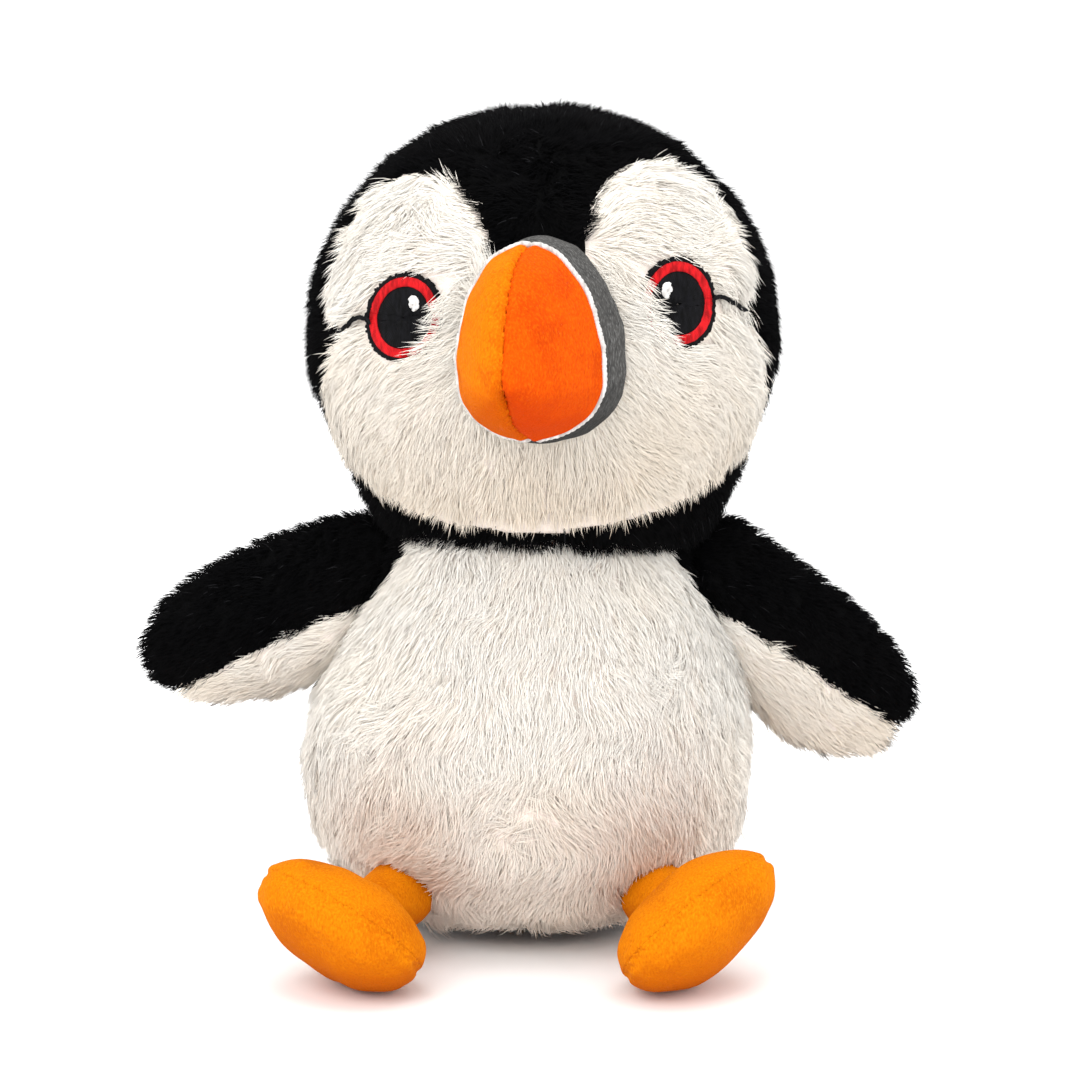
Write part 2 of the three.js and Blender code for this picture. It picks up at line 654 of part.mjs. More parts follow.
const wings = sides.map(([name, side], i) => {
  const wing = shoulders[i];
  const form = (inset) => clearOfBody(wingForm(name, side, inset), wing, side);
  const cover = form(0).subtract(wingForm(name, side, plushDepth - 1));
  const outside = side > 0 ? rightOf(0.3 * -wingRootRadius) : leftOf(0.3 * wingRootRadius);
  wing.add(piece(`wing_top_${name}`, cover.intersect(outside).subtract(underWing(name, side, half)), blackPlush));
  wing.add(piece(`wing_underside_${name}`, cover.intersect(outside).intersect(underWing(name, side, -half)), creamPlush));
  wing.add(piece(`wing_stuffing_${name}`, form(plushDepth - 1 + seamGap), fibreFill));
  return wing;
});

// ---------------------------------------------------------------- legs and feet

// A webbed foot from above: pointed at the outer toe, round at the heel.
const footOutline = (side) => {
  const points = [[1, -0.1], [0.78, -0.31], [0.38, -0.46], [-0.12, -0.52], [-0.62, -0.44], [-0.91, -0.22],
    [-0.88, 0.07], [-0.53, 0.35], [-0.06, 0.48], [0.44, 0.37], [0.81, 0.15]];
  const curve = new THREE.CatmullRomCurve3(
    points.map(([x, y]) => new THREE.Vector3(side * footHalfWidth * x, footLength * y, 0)), true, 'centripetal');
  return curve.getPoints(footSteps).slice(0, footSteps);
};

function footForm(side, inset) {
  const outline = footOutline(side);
  const angles = [-90, -62, -32, 0, 32, 62, 90];
  const rings = angles.map((angle) => {
    const z = (footHalfThickness - inset) * Math.sin(radians(angle));
    if (Math.abs(angle) === 90) return [new THREE.Vector3(0, 0, z)];
    const spread = Math.cos(radians(angle)) ** 0.9;
    return outline.map((p) => {
      const reach = p.length();
      return new THREE.Vector3(p.x, p.y, 0).multiplyScalar(((reach - inset) / reach) * spread).setZ(z);
    });
  });
  return toSolid(loft(rings));
}

const feet = sides.map(([name, side]) => {
  const root = legRoot(side);
  const turn = new THREE.Euler(radians(-footPitch), side * radians(-footRoll[name]), side * radians(footToeOut), 'ZYX');
  const matrix = new THREE.Matrix4().makeRotationFromEuler(turn);
  const tilted = toGeometry(inBody(footForm(side, 0), matrix));
  tilted.computeBoundingBox();
  const footPlace = new THREE.Vector3(side * footReach[name], -footForward, -tilted.boundingBox.min.z - root.z);

  const foot = new THREE.Group();
  const cover = footForm(side, 0).subtract(footForm(side, velboaDepth));
  foot.add(piece(`foot_top_${name}`, cover.intersect(above(half)), goldVelboa));
  foot.add(piece(`foot_sole_${name}`, cover.intersect(below(-half)), goldVelboa));
  foot.add(piece(`foot_stuffing_${name}`, footForm(side, velboaDepth + seamGap), fibreFill));
  foot.rotation.copy(turn);
  foot.position.copy(footPlace);

  // The leg is a short stuffed tube from its ball in the belly to the back of the foot.
  const reach = footPlace.length();
  const along = new THREE.Quaternion().setFromUnitVectors(new THREE.Vector3(0, 1, 0), footPlace.clone().normalize());
  const ballAndTube = (shrink) => [-90, -60, -30, 0, 25, 45].map((angle) => new THREE.Vector2(
    Math.max(0, (legBallRadius - shrink) * Math.cos(radians(angle))), (legBallRadius - shrink) * Math.sin(radians(angle))))
    .concat([[legRadius - shrink, legBallRadius], [legRadius + legFlare - shrink, reach]].map(corner));
  const tubeProfile = [...ballAndTube(0), ...ballAndTube(velboaDepth).reverse()];
  const coreProfile = [...ballAndTube(velboaDepth + seamGap), new THREE.Vector2(0, reach)];
  const clearMatrix = matrix.clone().setPosition(footPlace);
  const footClear = inBody(footForm(side, -seamGap), clearMatrix);
  const legSolid = (profile) => {
    const turned = new THREE.LatheGeometry(profile, legSteps);
    turned.applyQuaternion(along);
    return toSolid(turned).subtract(footClear);
  };
  const leg = new THREE.Group();
  leg.add(piece(`leg_cover_${name}`, legSolid(tubeProfile), goldVelboa));
  leg.add(piece(`leg_stuffing_${name}`, legSolid(coreProfile), fibreFill));
  leg.add(foot);
  leg.position.copy(root);
  return leg;
});

// ---------------------------------------------------------------- assembly

const puffin = new THREE.Group();
puffin.add(body, neck, headLean, ...wings, ...feet);

export default puffin;
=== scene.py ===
import json
import math

import bmesh
import bpy
import numpy as np
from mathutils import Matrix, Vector
from mathutils.bvhtree import BVHTree


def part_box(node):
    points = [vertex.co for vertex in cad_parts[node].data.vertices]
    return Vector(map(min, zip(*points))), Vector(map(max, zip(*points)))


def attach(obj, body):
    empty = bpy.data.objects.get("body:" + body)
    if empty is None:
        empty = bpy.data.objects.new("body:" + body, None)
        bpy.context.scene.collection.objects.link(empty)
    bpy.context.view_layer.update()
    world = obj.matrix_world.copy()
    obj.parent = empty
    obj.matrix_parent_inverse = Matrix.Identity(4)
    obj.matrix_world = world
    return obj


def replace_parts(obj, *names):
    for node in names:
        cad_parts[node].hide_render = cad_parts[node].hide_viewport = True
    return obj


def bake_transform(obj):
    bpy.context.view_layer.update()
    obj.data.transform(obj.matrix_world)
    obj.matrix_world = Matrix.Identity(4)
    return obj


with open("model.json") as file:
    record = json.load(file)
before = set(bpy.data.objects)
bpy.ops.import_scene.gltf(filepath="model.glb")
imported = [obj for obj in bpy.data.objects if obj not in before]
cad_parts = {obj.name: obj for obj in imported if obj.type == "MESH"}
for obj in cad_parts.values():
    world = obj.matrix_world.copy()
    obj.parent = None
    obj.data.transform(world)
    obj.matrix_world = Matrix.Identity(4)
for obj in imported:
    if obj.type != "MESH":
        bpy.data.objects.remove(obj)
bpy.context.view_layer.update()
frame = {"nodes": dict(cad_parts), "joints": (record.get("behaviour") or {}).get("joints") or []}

# ------------------------------------------------------------------ camera, light, floor
# The camera stands a little above the toy and looks slightly down at its middle. Broad
# soft lights stand round it on a plain pale floor.
CAMERA_DISTANCE = 0.95
CAMERA_ELEVATION = math.radians(9)
AIM_HEIGHT = 0.1347
LENS, SENSOR = 91.3, 36
LIT_HEIGHT = 0.14  # the lamps all point at the middle of the toy
WORLD_STRENGTH = 1.15
FLOOR_HALF = 3.0
FLOOR_TONE, FLOOR_ROUGHNESS = 0.93, 0.9

scene = bpy.context.scene
camera = bpy.data.objects.new("camera", bpy.data.cameras.new("camera"))
scene.collection.objects.link(camera)
camera.data.lens = LENS
camera.data.sensor_width = SENSOR
camera.location = (0, -CAMERA_DISTANCE * math.cos(CAMERA_ELEVATION),
                   AIM_HEIGHT + CAMERA_DISTANCE * math.sin(CAMERA_ELEVATION))
camera.rotation_euler = (math.pi / 2 - CAMERA_ELEVATION, 0, 0)
scene.camera = camera
scene.view_settings.view_transform = "Standard"


def soft_light(name, place, size, power):
    lamp = bpy.data.lights.new(name, "AREA")
    lamp.size = size
    lamp.energy = power
    light = bpy.data.objects.new(name, lamp)
    light.location = place
    aim = Vector((0, 0, LIT_HEIGHT)) - Vector(place)
    light.rotation_euler = aim.to_track_quat("-Z", "Y").to_euler()
    scene.collection.objects.link(light)


soft_light("key_light", (-0.8, -1.4, 1.5), size=1.3, power=18)
soft_light("fill_light", (1.2, -1.3, 0.8), size=1.2, power=4)
soft_light("top_light", (0.1, -0.1, 1.7), size=1.2, power=12)
soft_light("back_light", (0.5, 1.5, 1.0), size=1.2, power=8)
world = bpy.data.worlds.new("studio")
world.use_nodes = True
surround = world.node_tree.nodes["Background"]
surround.inputs["Color"].default_value = (1, 1, 1, 1)
surround.inputs["Strength"].default_value = WORLD_STRENGTH
scene.world = world


def build_mesh(name, points, faces):
    """A mesh of triangles or of quads from arrays of points and of corner numbers."""
    mesh = bpy.data.meshes.new(name)
    faces = np.asarray(faces, np.int32)
    count, corners = faces.shape
    mesh.vertices.add(len(points))
    mesh.vertices.foreach_set("co", np.asarray(points, np.float32).ravel())
    mesh.loops.add(count * corners)
    mesh.loops.foreach_set("vertex_index", faces.ravel())
    mesh.polygons.add(count)
    mesh.polygons.foreach_set("loop_start", np.arange(0, count * corners, corners, dtype=np.int32))
    mesh.polygons.foreach_set("loop_total", np.full(count, corners, np.int32))
    mesh.update(calc_edges=True)
    return mesh


def add_object(name, mesh):
    piece = bpy.data.objects.new(name, mesh)
    scene.collection.objects.link(piece)
    return piece


floor_corners = [(x * FLOOR_HALF, y * FLOOR_HALF, 0) for x, y in ((-1, -1), (1, -1), (1, 1), (-1, 1))]
floor = add_object("floor", build_mesh("floor", floor_corners, [[0, 1, 2, 3]]))
floor_paint = bpy.data.materials.new("pale floor")
floor_paint.use_nodes = True
paint = floor_paint.node_tree.nodes["Principled BSDF"]
paint.inputs["Base Color"].default_value = (FLOOR_TONE, FLOOR_TONE, FLOOR_TONE, 1)
paint.inputs["Roughness"].default_value = FLOOR_ROUGHNESS
floor.data.materials.append(floor_paint)

# ------------------------------------------------------------------ body
# The body is one pear-shaped bag: a long-pile cream belly panel, two short-pile black
# back panels and a black base, sewn face to face, turned and stuffed. The seams draw in.
MM = 0.001
BODY_NODES = ["belly_panel", "back_panel_left", "back_panel_right", "base_panel"]
LONG_ROOT_DEPTH = 3.6 * MM  # cloth below the tips of the pile
WELD = 0.05 * MM  # points closer than this are one point
STUFFING_STEPS = 20
SEAM_REACH = 12 * MM  # a seam draws the cloth in no further away than this


def cad_points(*nodes):
    return np.concatenate([np.array([v.co for v in frame["nodes"][n].data.vertices]) for n in nodes])


def surface_tree(mesh):
    return BVHTree.FromPolygons([v.co for v in mesh.vertices], [p.vertices for p in mesh.polygons])


def make_smooth(mesh):
    mesh.polygons.foreach_set("use_smooth", np.ones(len(mesh.polygons), bool))


def points_of(piece):
    co = np.empty(len(piece.data.vertices) * 3, np.float32)
    piece.data.vertices.foreach_get("co", co)
    return co.reshape(-1, 3).astype(float)


def normals_of(piece):
    out = np.empty(len(piece.data.vertices) * 3, np.float32)
    piece.data.vertices.foreach_get("normal", out)
    return out.reshape(-1, 3).astype(float)


def move_points(piece, points):
    piece.data.vertices.foreach_set("co", np.asarray(points, np.float32).ravel())
    piece.data.update()


def apply_modifiers(piece):
    graph = bpy.context.evaluated_depsgraph_get()
    mesh = bpy.data.meshes.new_from_object(piece.evaluated_get(graph))
    piece.modifiers.clear()
    piece.data = mesh


def wrapped(name, nodes, voxel, rounds, inset, also=()):
    """A smooth closed skin drawn tight round CAD nodes and other points, then drawn in."""
    bm = bmesh.new()
    for point in [*cad_points(*nodes), *also]:
        bm.verts.new(point)
    bmesh.ops.remove_doubles(bm, verts=bm.verts, dist=WELD)
    bmesh.ops.convex_hull(bm, input=bm.verts)
    bmesh.ops.delete(bm, geom=[v for v in bm.verts if not v.link_faces], context="VERTS")
    mesh = bpy.data.meshes.new(name)
    bm.to_mesh(mesh)
    bm.free()
    skin = add_object(name, mesh)
    remesh = skin.modifiers.new("remesh", "REMESH")
    remesh.mode = "VOXEL"
    remesh.voxel_size = voxel
    relax = skin.modifiers.new("relax", "SMOOTH")
    relax.factor = 0.5
    relax.iterations = rounds
    apply_modifiers(skin)
    move_points(skin, points_of(skin) - normals_of(skin) * inset)
    return skin


def stuff(skin, pressure, most):
    """Blows the skin up as filling does, with no point moving further than most."""
    start = points_of(skin)
    cloth = skin.modifiers.new("stuffing", "CLOTH")
    cloth.settings.quality = 4
    cloth.settings.mass = 0.15
    cloth.settings.tension_stiffness = 12
    cloth.settings.compression_stiffness = 12
    cloth.settings.bending_stiffness = 0.6
    cloth.settings.use_pressure = True
    cloth.settings.uniform_pressure_force = pressure
    cloth.settings.effector_weights.gravity = 0
    cloth.point_cache.frame_start = 1
    cloth.point_cache.frame_end = STUFFING_STEPS
    for step in range(1, STUFFING_STEPS + 1):
        scene.frame_set(step)
    apply_modifiers(skin)
    scene.frame_set(1)
    moved = points_of(skin) - start
    far = np.linalg.norm(moved, axis=1, keepdims=True)
    move_points(skin, start + moved * np.minimum(1, most / np.maximum(far, 1e-9)))


def refine(skin, levels):
    finer = skin.modifiers.new("finer", "SUBSURF")
    finer.levels = finer.render_levels = levels
    apply_modifiers(skin)


trees = {}


def tree_of(node):
    if node not in trees:
        trees[node] = surface_tree(frame["nodes"][node].data)
    return trees[node]


def nearest_node(points, nodes):
    """For each point, the place in the list of the CAD node that lies nearest, and how
    far away every node is."""
    away = np.empty((len(nodes), len(points)))
    for row, node in enumerate(nodes):
        find = tree_of(node).find_nearest
        away[row] = [find(point)[3] for point in points.tolist()]
    return away.argmin(0), away


def sink_seams(skin, sewn_by, width, depth):
    """Draws the skin in along the seams, where two panels are equally near."""
    points = points_of(skin)
    _, away = nearest_node(points, sewn_by)
    two = np.sort(away, axis=0)[:2]
    off_seam = two[1] - two[0]
    draw = depth * np.exp(-(off_seam / width) ** 2) * (two[1] < SEAM_REACH)
    move_points(skin, points - normals_of(skin) * draw[:, None])


def cut_panels(skin, labels_of, names, thickness):
    """Splits a skin into its sewn panels, each one a closed sheet of backing cloth."""
    mesh = skin.data
    centres = np.array([p.center for p in mesh.polygons])
    labels = labels_of(centres)
    panels = {}
    for i, name in enumerate(names):
        bm = bmesh.new()
        bm.from_mesh(mesh)
        bm.faces.ensure_lookup_table()
        bmesh.ops.delete(bm, geom=[f for f in bm.faces if labels[f.index] != i], context="FACES")
        part = bpy.data.meshes.new(name)
        bm.to_mesh(part)
        bm.free()
        panel = add_object(name, part)
        shell = panel.modifiers.new("backing", "SOLIDIFY")
        shell.thickness = thickness
        shell.offset = -1
        apply_modifiers(panel)
        make_smooth(panel.data)
        panels[name] = panel
    return panels


def scatter(skin, per_square_mm, seed):
    """Even random roots over a skin: points, and the skin's normal at each."""
    mesh = skin.data
    mesh.calc_loop_triangles()
    count = len(mesh.loop_triangles)
    corners = np.empty(count * 3, np.int32)
    mesh.loop_triangles.foreach_get("vertices", corners)
    corners = corners.reshape(-1, 3)
    points, normals = points_of(skin), normals_of(skin)
    a, b, c = (points[corners[:, k]] for k in range(3))
    areas = np.linalg.norm(np.cross(b - a, c - a), axis=1) / 2
    rng = np.random.default_rng(seed)
    wanted = int(areas.sum() / MM ** 2 * per_square_mm)
    chosen = rng.choice(count, wanted, p=areas / areas.sum())
    u, v = rng.random((2, wanted))
    flip = u + v > 1
    u[flip], v[flip] = 1 - u[flip], 1 - v[flip]
    w = 1 - u - v
    mixed = [w[:, None] * s[corners[chosen, 0]] + u[:, None] * s[corners[chosen, 1]]
             + v[:, None] * s[corners[chosen, 2]] for s in (points, normals)]
    return mixed[0], unit(mixed[1])


def unit(vectors):
    return vectors / np.maximum(np.linalg.norm(vectors, axis=1, keepdims=True), 1e-12)


WAVES, WAVE_STRETCH, WAVE_PEAK = 7, 1.7, 1.2


def ripples(points, wavelength, seed):
    """A smooth random vector field, three numbers of about -1 to 1 at each point."""
    rng = np.random.default_rng(seed)
    total = np.zeros((len(points), 3))
    for _ in range(WAVES):
        waves = rng.normal(size=(3, 3)) / wavelength
        total += np.sin(points @ waves.T * 2 * math.pi / WAVE_STRETCH + rng.random(3) * 2 * math.pi)
    return total / WAVES ** 0.5 / WAVE_PEAK


MOST_FACES = 180000  # a pile with more faces than this is grown as several meshes
LENGTH_SPREAD, LIFT_SPREAD = 0.13, 0.09  # from hair to hair
HAIR_TWIST, TUFT_TWIST = 0.16, 0.12
ROOT_DEPTH = 0.3 * MM  # each hair starts this far inside the cloth
STEP_SHARES = {1: [0.55, 0.45], 2: [0.42, 0.33, 0.25]}  # of a hair's length, by its bends
TAPERS = {1: (1.0, 0.75), 2: (1.0, 0.85, 0.6)}
BEND_OVER = 0.33  # how much less each further step stands up
UV_CELLS, UV_STRAND = 32, 0.045  # squares across the sheet, and a strand's half width in one


def grow_pile(name, roots, normals, comb, length, lift, seed, width, hairs, splay, bends, clump):
    """Tufts of tapered hairs on the cloth. comb is the way that each tuft lies, lift how
    far it stands up, splay how wide a tuft is at its roots, clump how far its tips draw in."""
    rng = np.random.default_rng(seed)
    lie = unit(comb - normals * np.sum(comb * normals, axis=1, keepdims=True))
    across = np.cross(normals, lie)
    tufts = len(roots)
    up, ahead, aside = (np.repeat(s, hairs, axis=0) for s in (normals, lie, across))
    base = np.repeat(roots, hairs, axis=0)
    total = tufts * hairs
    spread = rng.normal(size=(total, 2)) * splay
    base = base + ahead * spread[:, :1] + aside * spread[:, 1:] - up * ROOT_DEPTH
    reach = np.repeat(length, hairs) * np.clip(rng.normal(1, LENGTH_SPREAD, total), 0.55, 1.5)
    stand = np.clip(np.repeat(lift, hairs) + rng.normal(0, LIFT_SPREAD, total), 0.08, 1.0)
    twist = rng.normal(0, HAIR_TWIST, total) + np.repeat(rng.normal(0, TUFT_TWIST, tufts), hairs)
    way = unit(ahead * np.cos(twist)[:, None] + aside * np.sin(twist)[:, None])
    shares = STEP_SHARES[bends]
    stops = [base]
    for i, share in enumerate(shares):
        rise = (stand * (1 - BEND_OVER * i))[:, None]
        step = unit(up * rise + way * np.sqrt(np.maximum(0, 1 - rise ** 2))) * (reach * share)[:, None]
        draw_in = -(ahead * spread[:, :1] + aside * spread[:, 1:]) * clump * share
        stops.append(stops[-1] + step + draw_in)
    rings = len(shares)
    spin = rng.random(total) * 2 * math.pi
    verts, bend_normals, along = [], [], []
    for i in range(rings):
        axis = unit(stops[i + 1] - stops[i])
        side = unit(np.cross(axis, up + 0.01))
        rise = np.cross(axis, side)
        taper = TAPERS[bends][i]
        for k in range(3):
            turn = spin + 2 * math.pi * k / 3
            out = side * np.cos(turn)[:, None] + rise * np.sin(turn)[:, None]
            verts.append(stops[i] + out * width / 2 * taper)
            bend_normals.append(unit(out * 0.15 + up + way * 0.1))
            along.append(np.full(total, sum(shares[:i])))
    verts.append(stops[-1])
    bend_normals.append(unit(up + way * 0.3))
    along.append(np.ones(total))
    per_hair = len(verts)
    points = np.stack(verts, axis=1)
    shading = np.stack(bend_normals, axis=1)
    t = np.stack(along, axis=1)
    tone = np.repeat(rng.random(total)[:, None], per_hair, axis=1)
    faces = [[0, 2, 1]]
    for i in range(rings - 1):
        low, high = 3 * i, 3 * i + 3
        for k in range(3):
            j = (k + 1) % 3
            faces += [[low + k, low + j, high + j], [low + k, high + j, high + k]]
    tip = per_hair - 1
    faces += [[tip - 3 + k, tip - 3 + (k + 1) % 3, tip] for k in range(3)]
    faces = np.array(faces)
    order = np.argsort(base[:, 2] * 40 + base[:, 0] * 0.001)  # level slices, from the floor up
    batches = math.ceil(total / (MOST_FACES // len(faces)))
    pieces = []
    low, high = base.min(0), base.max(0)
    for b in range(batches):
        chosen = order[b * total // batches:(b + 1) * total // batches]
        count = len(chosen)
        corners = (faces[None] + (np.arange(count) * per_hair)[:, None, None]).reshape(-1, 3)
        label = name if batches == 1 else f"{name}_{b + 1}"
        mesh = build_mesh(label, points[chosen].reshape(-1, 3), corners)
        make_smooth(mesh)
        mesh.normals_split_custom_set_from_vertices(shading[chosen].reshape(-1, 3).tolist())
        for key, values in (("along", t), ("tone", tone)):
            layer = mesh.attributes.new(key, "FLOAT", "POINT")
            layer.data.foreach_set("value", values[chosen].astype(np.float32).ravel())
        cells = np.floor((UV_CELLS - 0.001) * (base[chosen] - low) / (high - low + 1e-9))[:, [0, 2]]
        shift = np.array([0, UV_STRAND, -UV_STRAND] * rings + [0])
        u = (cells[:, :1] + 0.1 + 0.8 * tone[chosen] + shift[None]) / UV_CELLS
        v = (cells[:, 1:] + 0.1 + 0.8 * t[chosen] + np.abs(shift)[None]) / UV_CELLS
        uv = np.stack([u, v], axis=2).reshape(-1, 2)[corners.ravel()]
        mesh.uv_layers.new(name="OFBake").data.foreach_set("uv", uv.astype(np.float32).ravel())
        pieces.append(add_object(label, mesh))
    return pieces


def new_group(name, inputs, outputs):
    group = bpy.data.node_groups.new(name, "ShaderNodeTree")
    new_socket = group.interface.new_socket
    for label, kind, value in inputs:
        new_socket(name=label, in_out="INPUT", socket_type=f"NodeSocket{kind}").default_value = value
    for label, kind in outputs:
        new_socket(name=label, in_out="OUTPUT", socket_type=f"NodeSocket{kind}")
    return group, group.nodes.new("NodeGroupInput"), group.nodes.new("NodeGroupOutput")


def mix_colors(group, factor, first, second, blend="MIX"):
    node = group.nodes.new("ShaderNodeMix")
    node.data_type = "RGBA"
    node.blend_type = blend
    for socket, value in ((node.inputs[0], factor), (node.inputs[6], first), (node.inputs[7], second)):
        if isinstance(value, (int, float, tuple)):
            socket.default_value = value
        else:
            group.links.new(value, socket)
    return node.outputs[2]


def remap(group, value, low, high, to_low=0.0, to_high=1.0):
    node = group.nodes.new("ShaderNodeMapRange")
    for socket, number in zip(("From Min", "From Max", "To Min", "To Max"), (low, high, to_low, to_high)):
        node.inputs[socket].default_value = number
    group.links.new(value, node.inputs["Value"])
    return node.outputs["Result"]


def calculate(group, operation, first, second):
    node = group.nodes.new("ShaderNodeMath")
    node.operation = operation
    group.links.new(first, node.inputs[0])
    group.links.new(second, node.inputs[1])
    return node.outputs[0]


def object_noise(group, scale, detail, stretch=None):
    place = group.nodes.new("ShaderNodeTexCoord").outputs["Object"]
    if stretch:
        squeeze = group.nodes.new("ShaderNodeMapping")
        squeeze.inputs["Scale"].default_value = stretch
        group.links.new(place, squeeze.inputs["Vector"])
        place = squeeze.outputs["Vector"]
    noise = group.nodes.new("ShaderNodeTexNoise")
    noise.inputs["Detail"].default_value = detail
    if isinstance(scale, (int, float)):
        noise.inputs["Scale"].default_value = scale
    else:
        group.links.new(scale, noise.inputs["Scale"])
    group.links.new(place, noise.inputs["Vector"])
    return noise.outputs["Fac"]


def attribute(group, name):
    node = group.nodes.new("ShaderNodeAttribute")
    node.attribute_name = name
    return node.outputs["Fac"]


# The pile's colour: darker at the roots, which is painted shade down among the hairs, a different
# tone in every hair, and broad patches where the dye or the dust differs.
PATCH_FINENESS, WEAVE_FINENESS = 28.0, 1400.0  # noise cells in a metre
pile_shade, given, made = new_group("pile shade", [
    ("Root Color", "Color", (0.5, 0.5, 0.5, 1)), ("Tip Color", "Color", (0.8, 0.8, 0.8, 1)),
    ("Odd Color", "Color", (0.6, 0.6, 0.6, 1)), ("Odd Share", "Float", 0.05),
    ("Patch Color", "Color", (0.7, 0.6, 0.5, 1)), ("Patch Amount", "Float", 0.3)], [("Color", "Color")])
root_shaded_color = mix_colors(pile_shade, remap(pile_shade, attribute(pile_shade, "along"), 0, 0.75),
                         given.outputs["Root Color"], given.outputs["Tip Color"])
shaded = mix_colors(pile_shade, remap(pile_shade, attribute(pile_shade, "tone"), 0, 1, 0.0, 0.15),
                    root_shaded_color, given.outputs["Root Color"])
is_odd = calculate(pile_shade, "LESS_THAN", attribute(pile_shade, "tone"), given.outputs["Odd Share"])
with_odd = mix_colors(pile_shade, is_odd, shaded, given.outputs["Odd Color"])
patches = remap(pile_shade, object_noise(pile_shade, PATCH_FINENESS, 2.0), 0.45, 0.7)
patched = calculate(pile_shade, "MULTIPLY", patches, given.outputs["Patch Amount"])
pile_shade.links.new(mix_colors(pile_shade, patched, with_odd, given.outputs["Patch Color"]),
                     made.inputs["Color"])


MATT_SPECULAR, THREAD_SPECULAR = 0.04, 0.1


def plain_material(name, roughness, sheen=0.0, sheen_tint=(1, 1, 1, 1), specular=MATT_SPECULAR):
    material = bpy.data.materials.new(name)
    material.use_nodes = True
    shader = material.node_tree.nodes["Principled BSDF"]
    shader.inputs["Roughness"].default_value = roughness
    shader.inputs["Specular IOR Level"].default_value = specular
    shader.inputs["Sheen Weight"].default_value = sheen
    shader.inputs["Sheen Roughness"].default_value = 0.5
    shader.inputs["Sheen Tint"].default_value = sheen_tint
    return material, material.node_tree, shader


def place_group(tree, group, values):
    node = tree.nodes.new("ShaderNodeGroup")
    node.node_tree = group
    for label, value in values.items():
        node.inputs[label].default_value = value
    return node


def raise_surface(tree, shader, height, strength, distance):
    bump = tree.nodes.new("ShaderNodeBump")
    bump.inputs["Strength"].default_value = strength
    bump.inputs["Distance"].default_value = distance
    tree.links.new(height, bump.inputs["Height"])
    tree.links.new(bump.outputs["Normal"], shader.inputs["Normal"])


def pile_material(name, root, tip, odd, odd_share, patch, patch_amount, sheen=0.0):
    material, tree, shader = plain_material(name, 0.85, sheen)
    shade = place_group(tree, pile_shade, {
        "Root Color": (*root, 1), "Tip Color": (*tip, 1), "Odd Color": (*odd, 1), "Odd Share": odd_share,
        "Patch Color": (*patch, 1), "Patch Amount": patch_amount})
    tree.links.new(shade.outputs["Color"], shader.inputs["Base Color"])
    return material, tree, shader, shade


# The woven backing that shows between the roots of the pile.
backing_weave, given, made = new_group("backing weave", [
    ("Yarn Color", "Color", (0.5, 0.5, 0.5, 1)), ("Gap Color", "Color", (0.3, 0.3, 0.3, 1))],
    [("Color", "Color"), ("Height", "Float")])
weave = object_noise(backing_weave, WEAVE_FINENESS, 3.0)
woven_color = mix_colors(backing_weave, remap(backing_weave, weave, 0.35, 0.65),
                         given.outputs["Gap Color"], given.outputs["Yarn Color"])
backing_weave.links.new(woven_color, made.inputs["Color"])
backing_weave.links.new(weave, made.inputs["Height"])


def backing_material(name, yarn, gap):
    material, tree, shader = plain_material(name, 0.95)
    woven = place_group(tree, backing_weave, {"Yarn Color": (*yarn, 1), "Gap Color": (*gap, 1)})
    tree.links.new(woven.outputs["Color"], shader.inputs["Base Color"])
    raise_surface(tree, shader, woven.outputs["Height"], strength=0.4, distance=0.3 * MM)
    return material


# The roots are darker than the tips: painted shade down among the hairs.
BLACK_ROOT, BLACK_TIP = (0.0008, 0.0008, 0.001), (0.0024, 0.0024, 0.0028)
CREAM_ROOT, CREAM_TIP = (0.94, 0.87, 0.77), (0.98, 0.945, 0.88)
black_pile = pile_material("black pile", BLACK_ROOT, BLACK_TIP, odd=(0.02, 0.02, 0.022), odd_share=0.008,
                           patch=(0.004, 0.0038, 0.004), patch_amount=0.5)[0]
black_backing = backing_material("black backing", (0.003, 0.003, 0.0033), (0.0015, 0.0015, 0.0015))
cream_backing = backing_material("cream backing", (0.88, 0.8, 0.74), (0.8, 0.7, 0.62))


def shaded_cream_pile(name, top, bottom, most, tint):
    """Cream pile with painted shade: it grows warmer and darker from one height down to another."""
    material, tree, shader, shade = pile_material(
        name, CREAM_ROOT, CREAM_TIP, odd=(0.92, 0.84, 0.73), odd_share=0.06, patch=(0.96, 0.88, 0.77),
        patch_amount=0.6, sheen=0.12)
    height = tree.nodes.new("ShaderNodeSeparateXYZ")
    tree.links.new(tree.nodes.new("ShaderNodeTexCoord").outputs["Object"], height.inputs[0])
    low_down = remap(tree, height.outputs["Z"], top, bottom, 0.0, most)
    painted_shade_tint = mix_colors(tree, low_down, (1, 1, 1, 1), (*tint, 1))
    painted_shade_color = mix_colors(tree, 1.0, shade.outputs["Color"], painted_shade_tint, "MULTIPLY")
    tree.links.new(painted_shade_color, shader.inputs["Base Color"])
    return material


# Painted shade: the belly pile warmer and darker towards the floor, the face pile under the beak and towards
# the chin, the flipper pile lower down on its underside.
belly_pile = shaded_cream_pile("belly pile", top=0.075, bottom=0.012, most=0.4, tint=(0.95, 0.8, 0.68))
face_pile = shaded_cream_pile("face pile", top=0.215, bottom=0.15, most=0.7, tint=(0.84, 0.76, 0.66))
wing_pile = shaded_cream_pile("flipper pile", top=0.11, bottom=0.07, most=0.7, tint=(0.86, 0.79, 0.72))

LONG = dict(width=0.29 * MM, hairs=6, splay=0.9 * MM, bends=2, clump=0.4)
SHORT = dict(width=0.32 * MM, hairs=5, splay=0.9 * MM, bends=1, clump=0.1)
LONG_TUFTS, SHORT_TUFTS = 0.37, 0.34  # tufts on a square millimetre


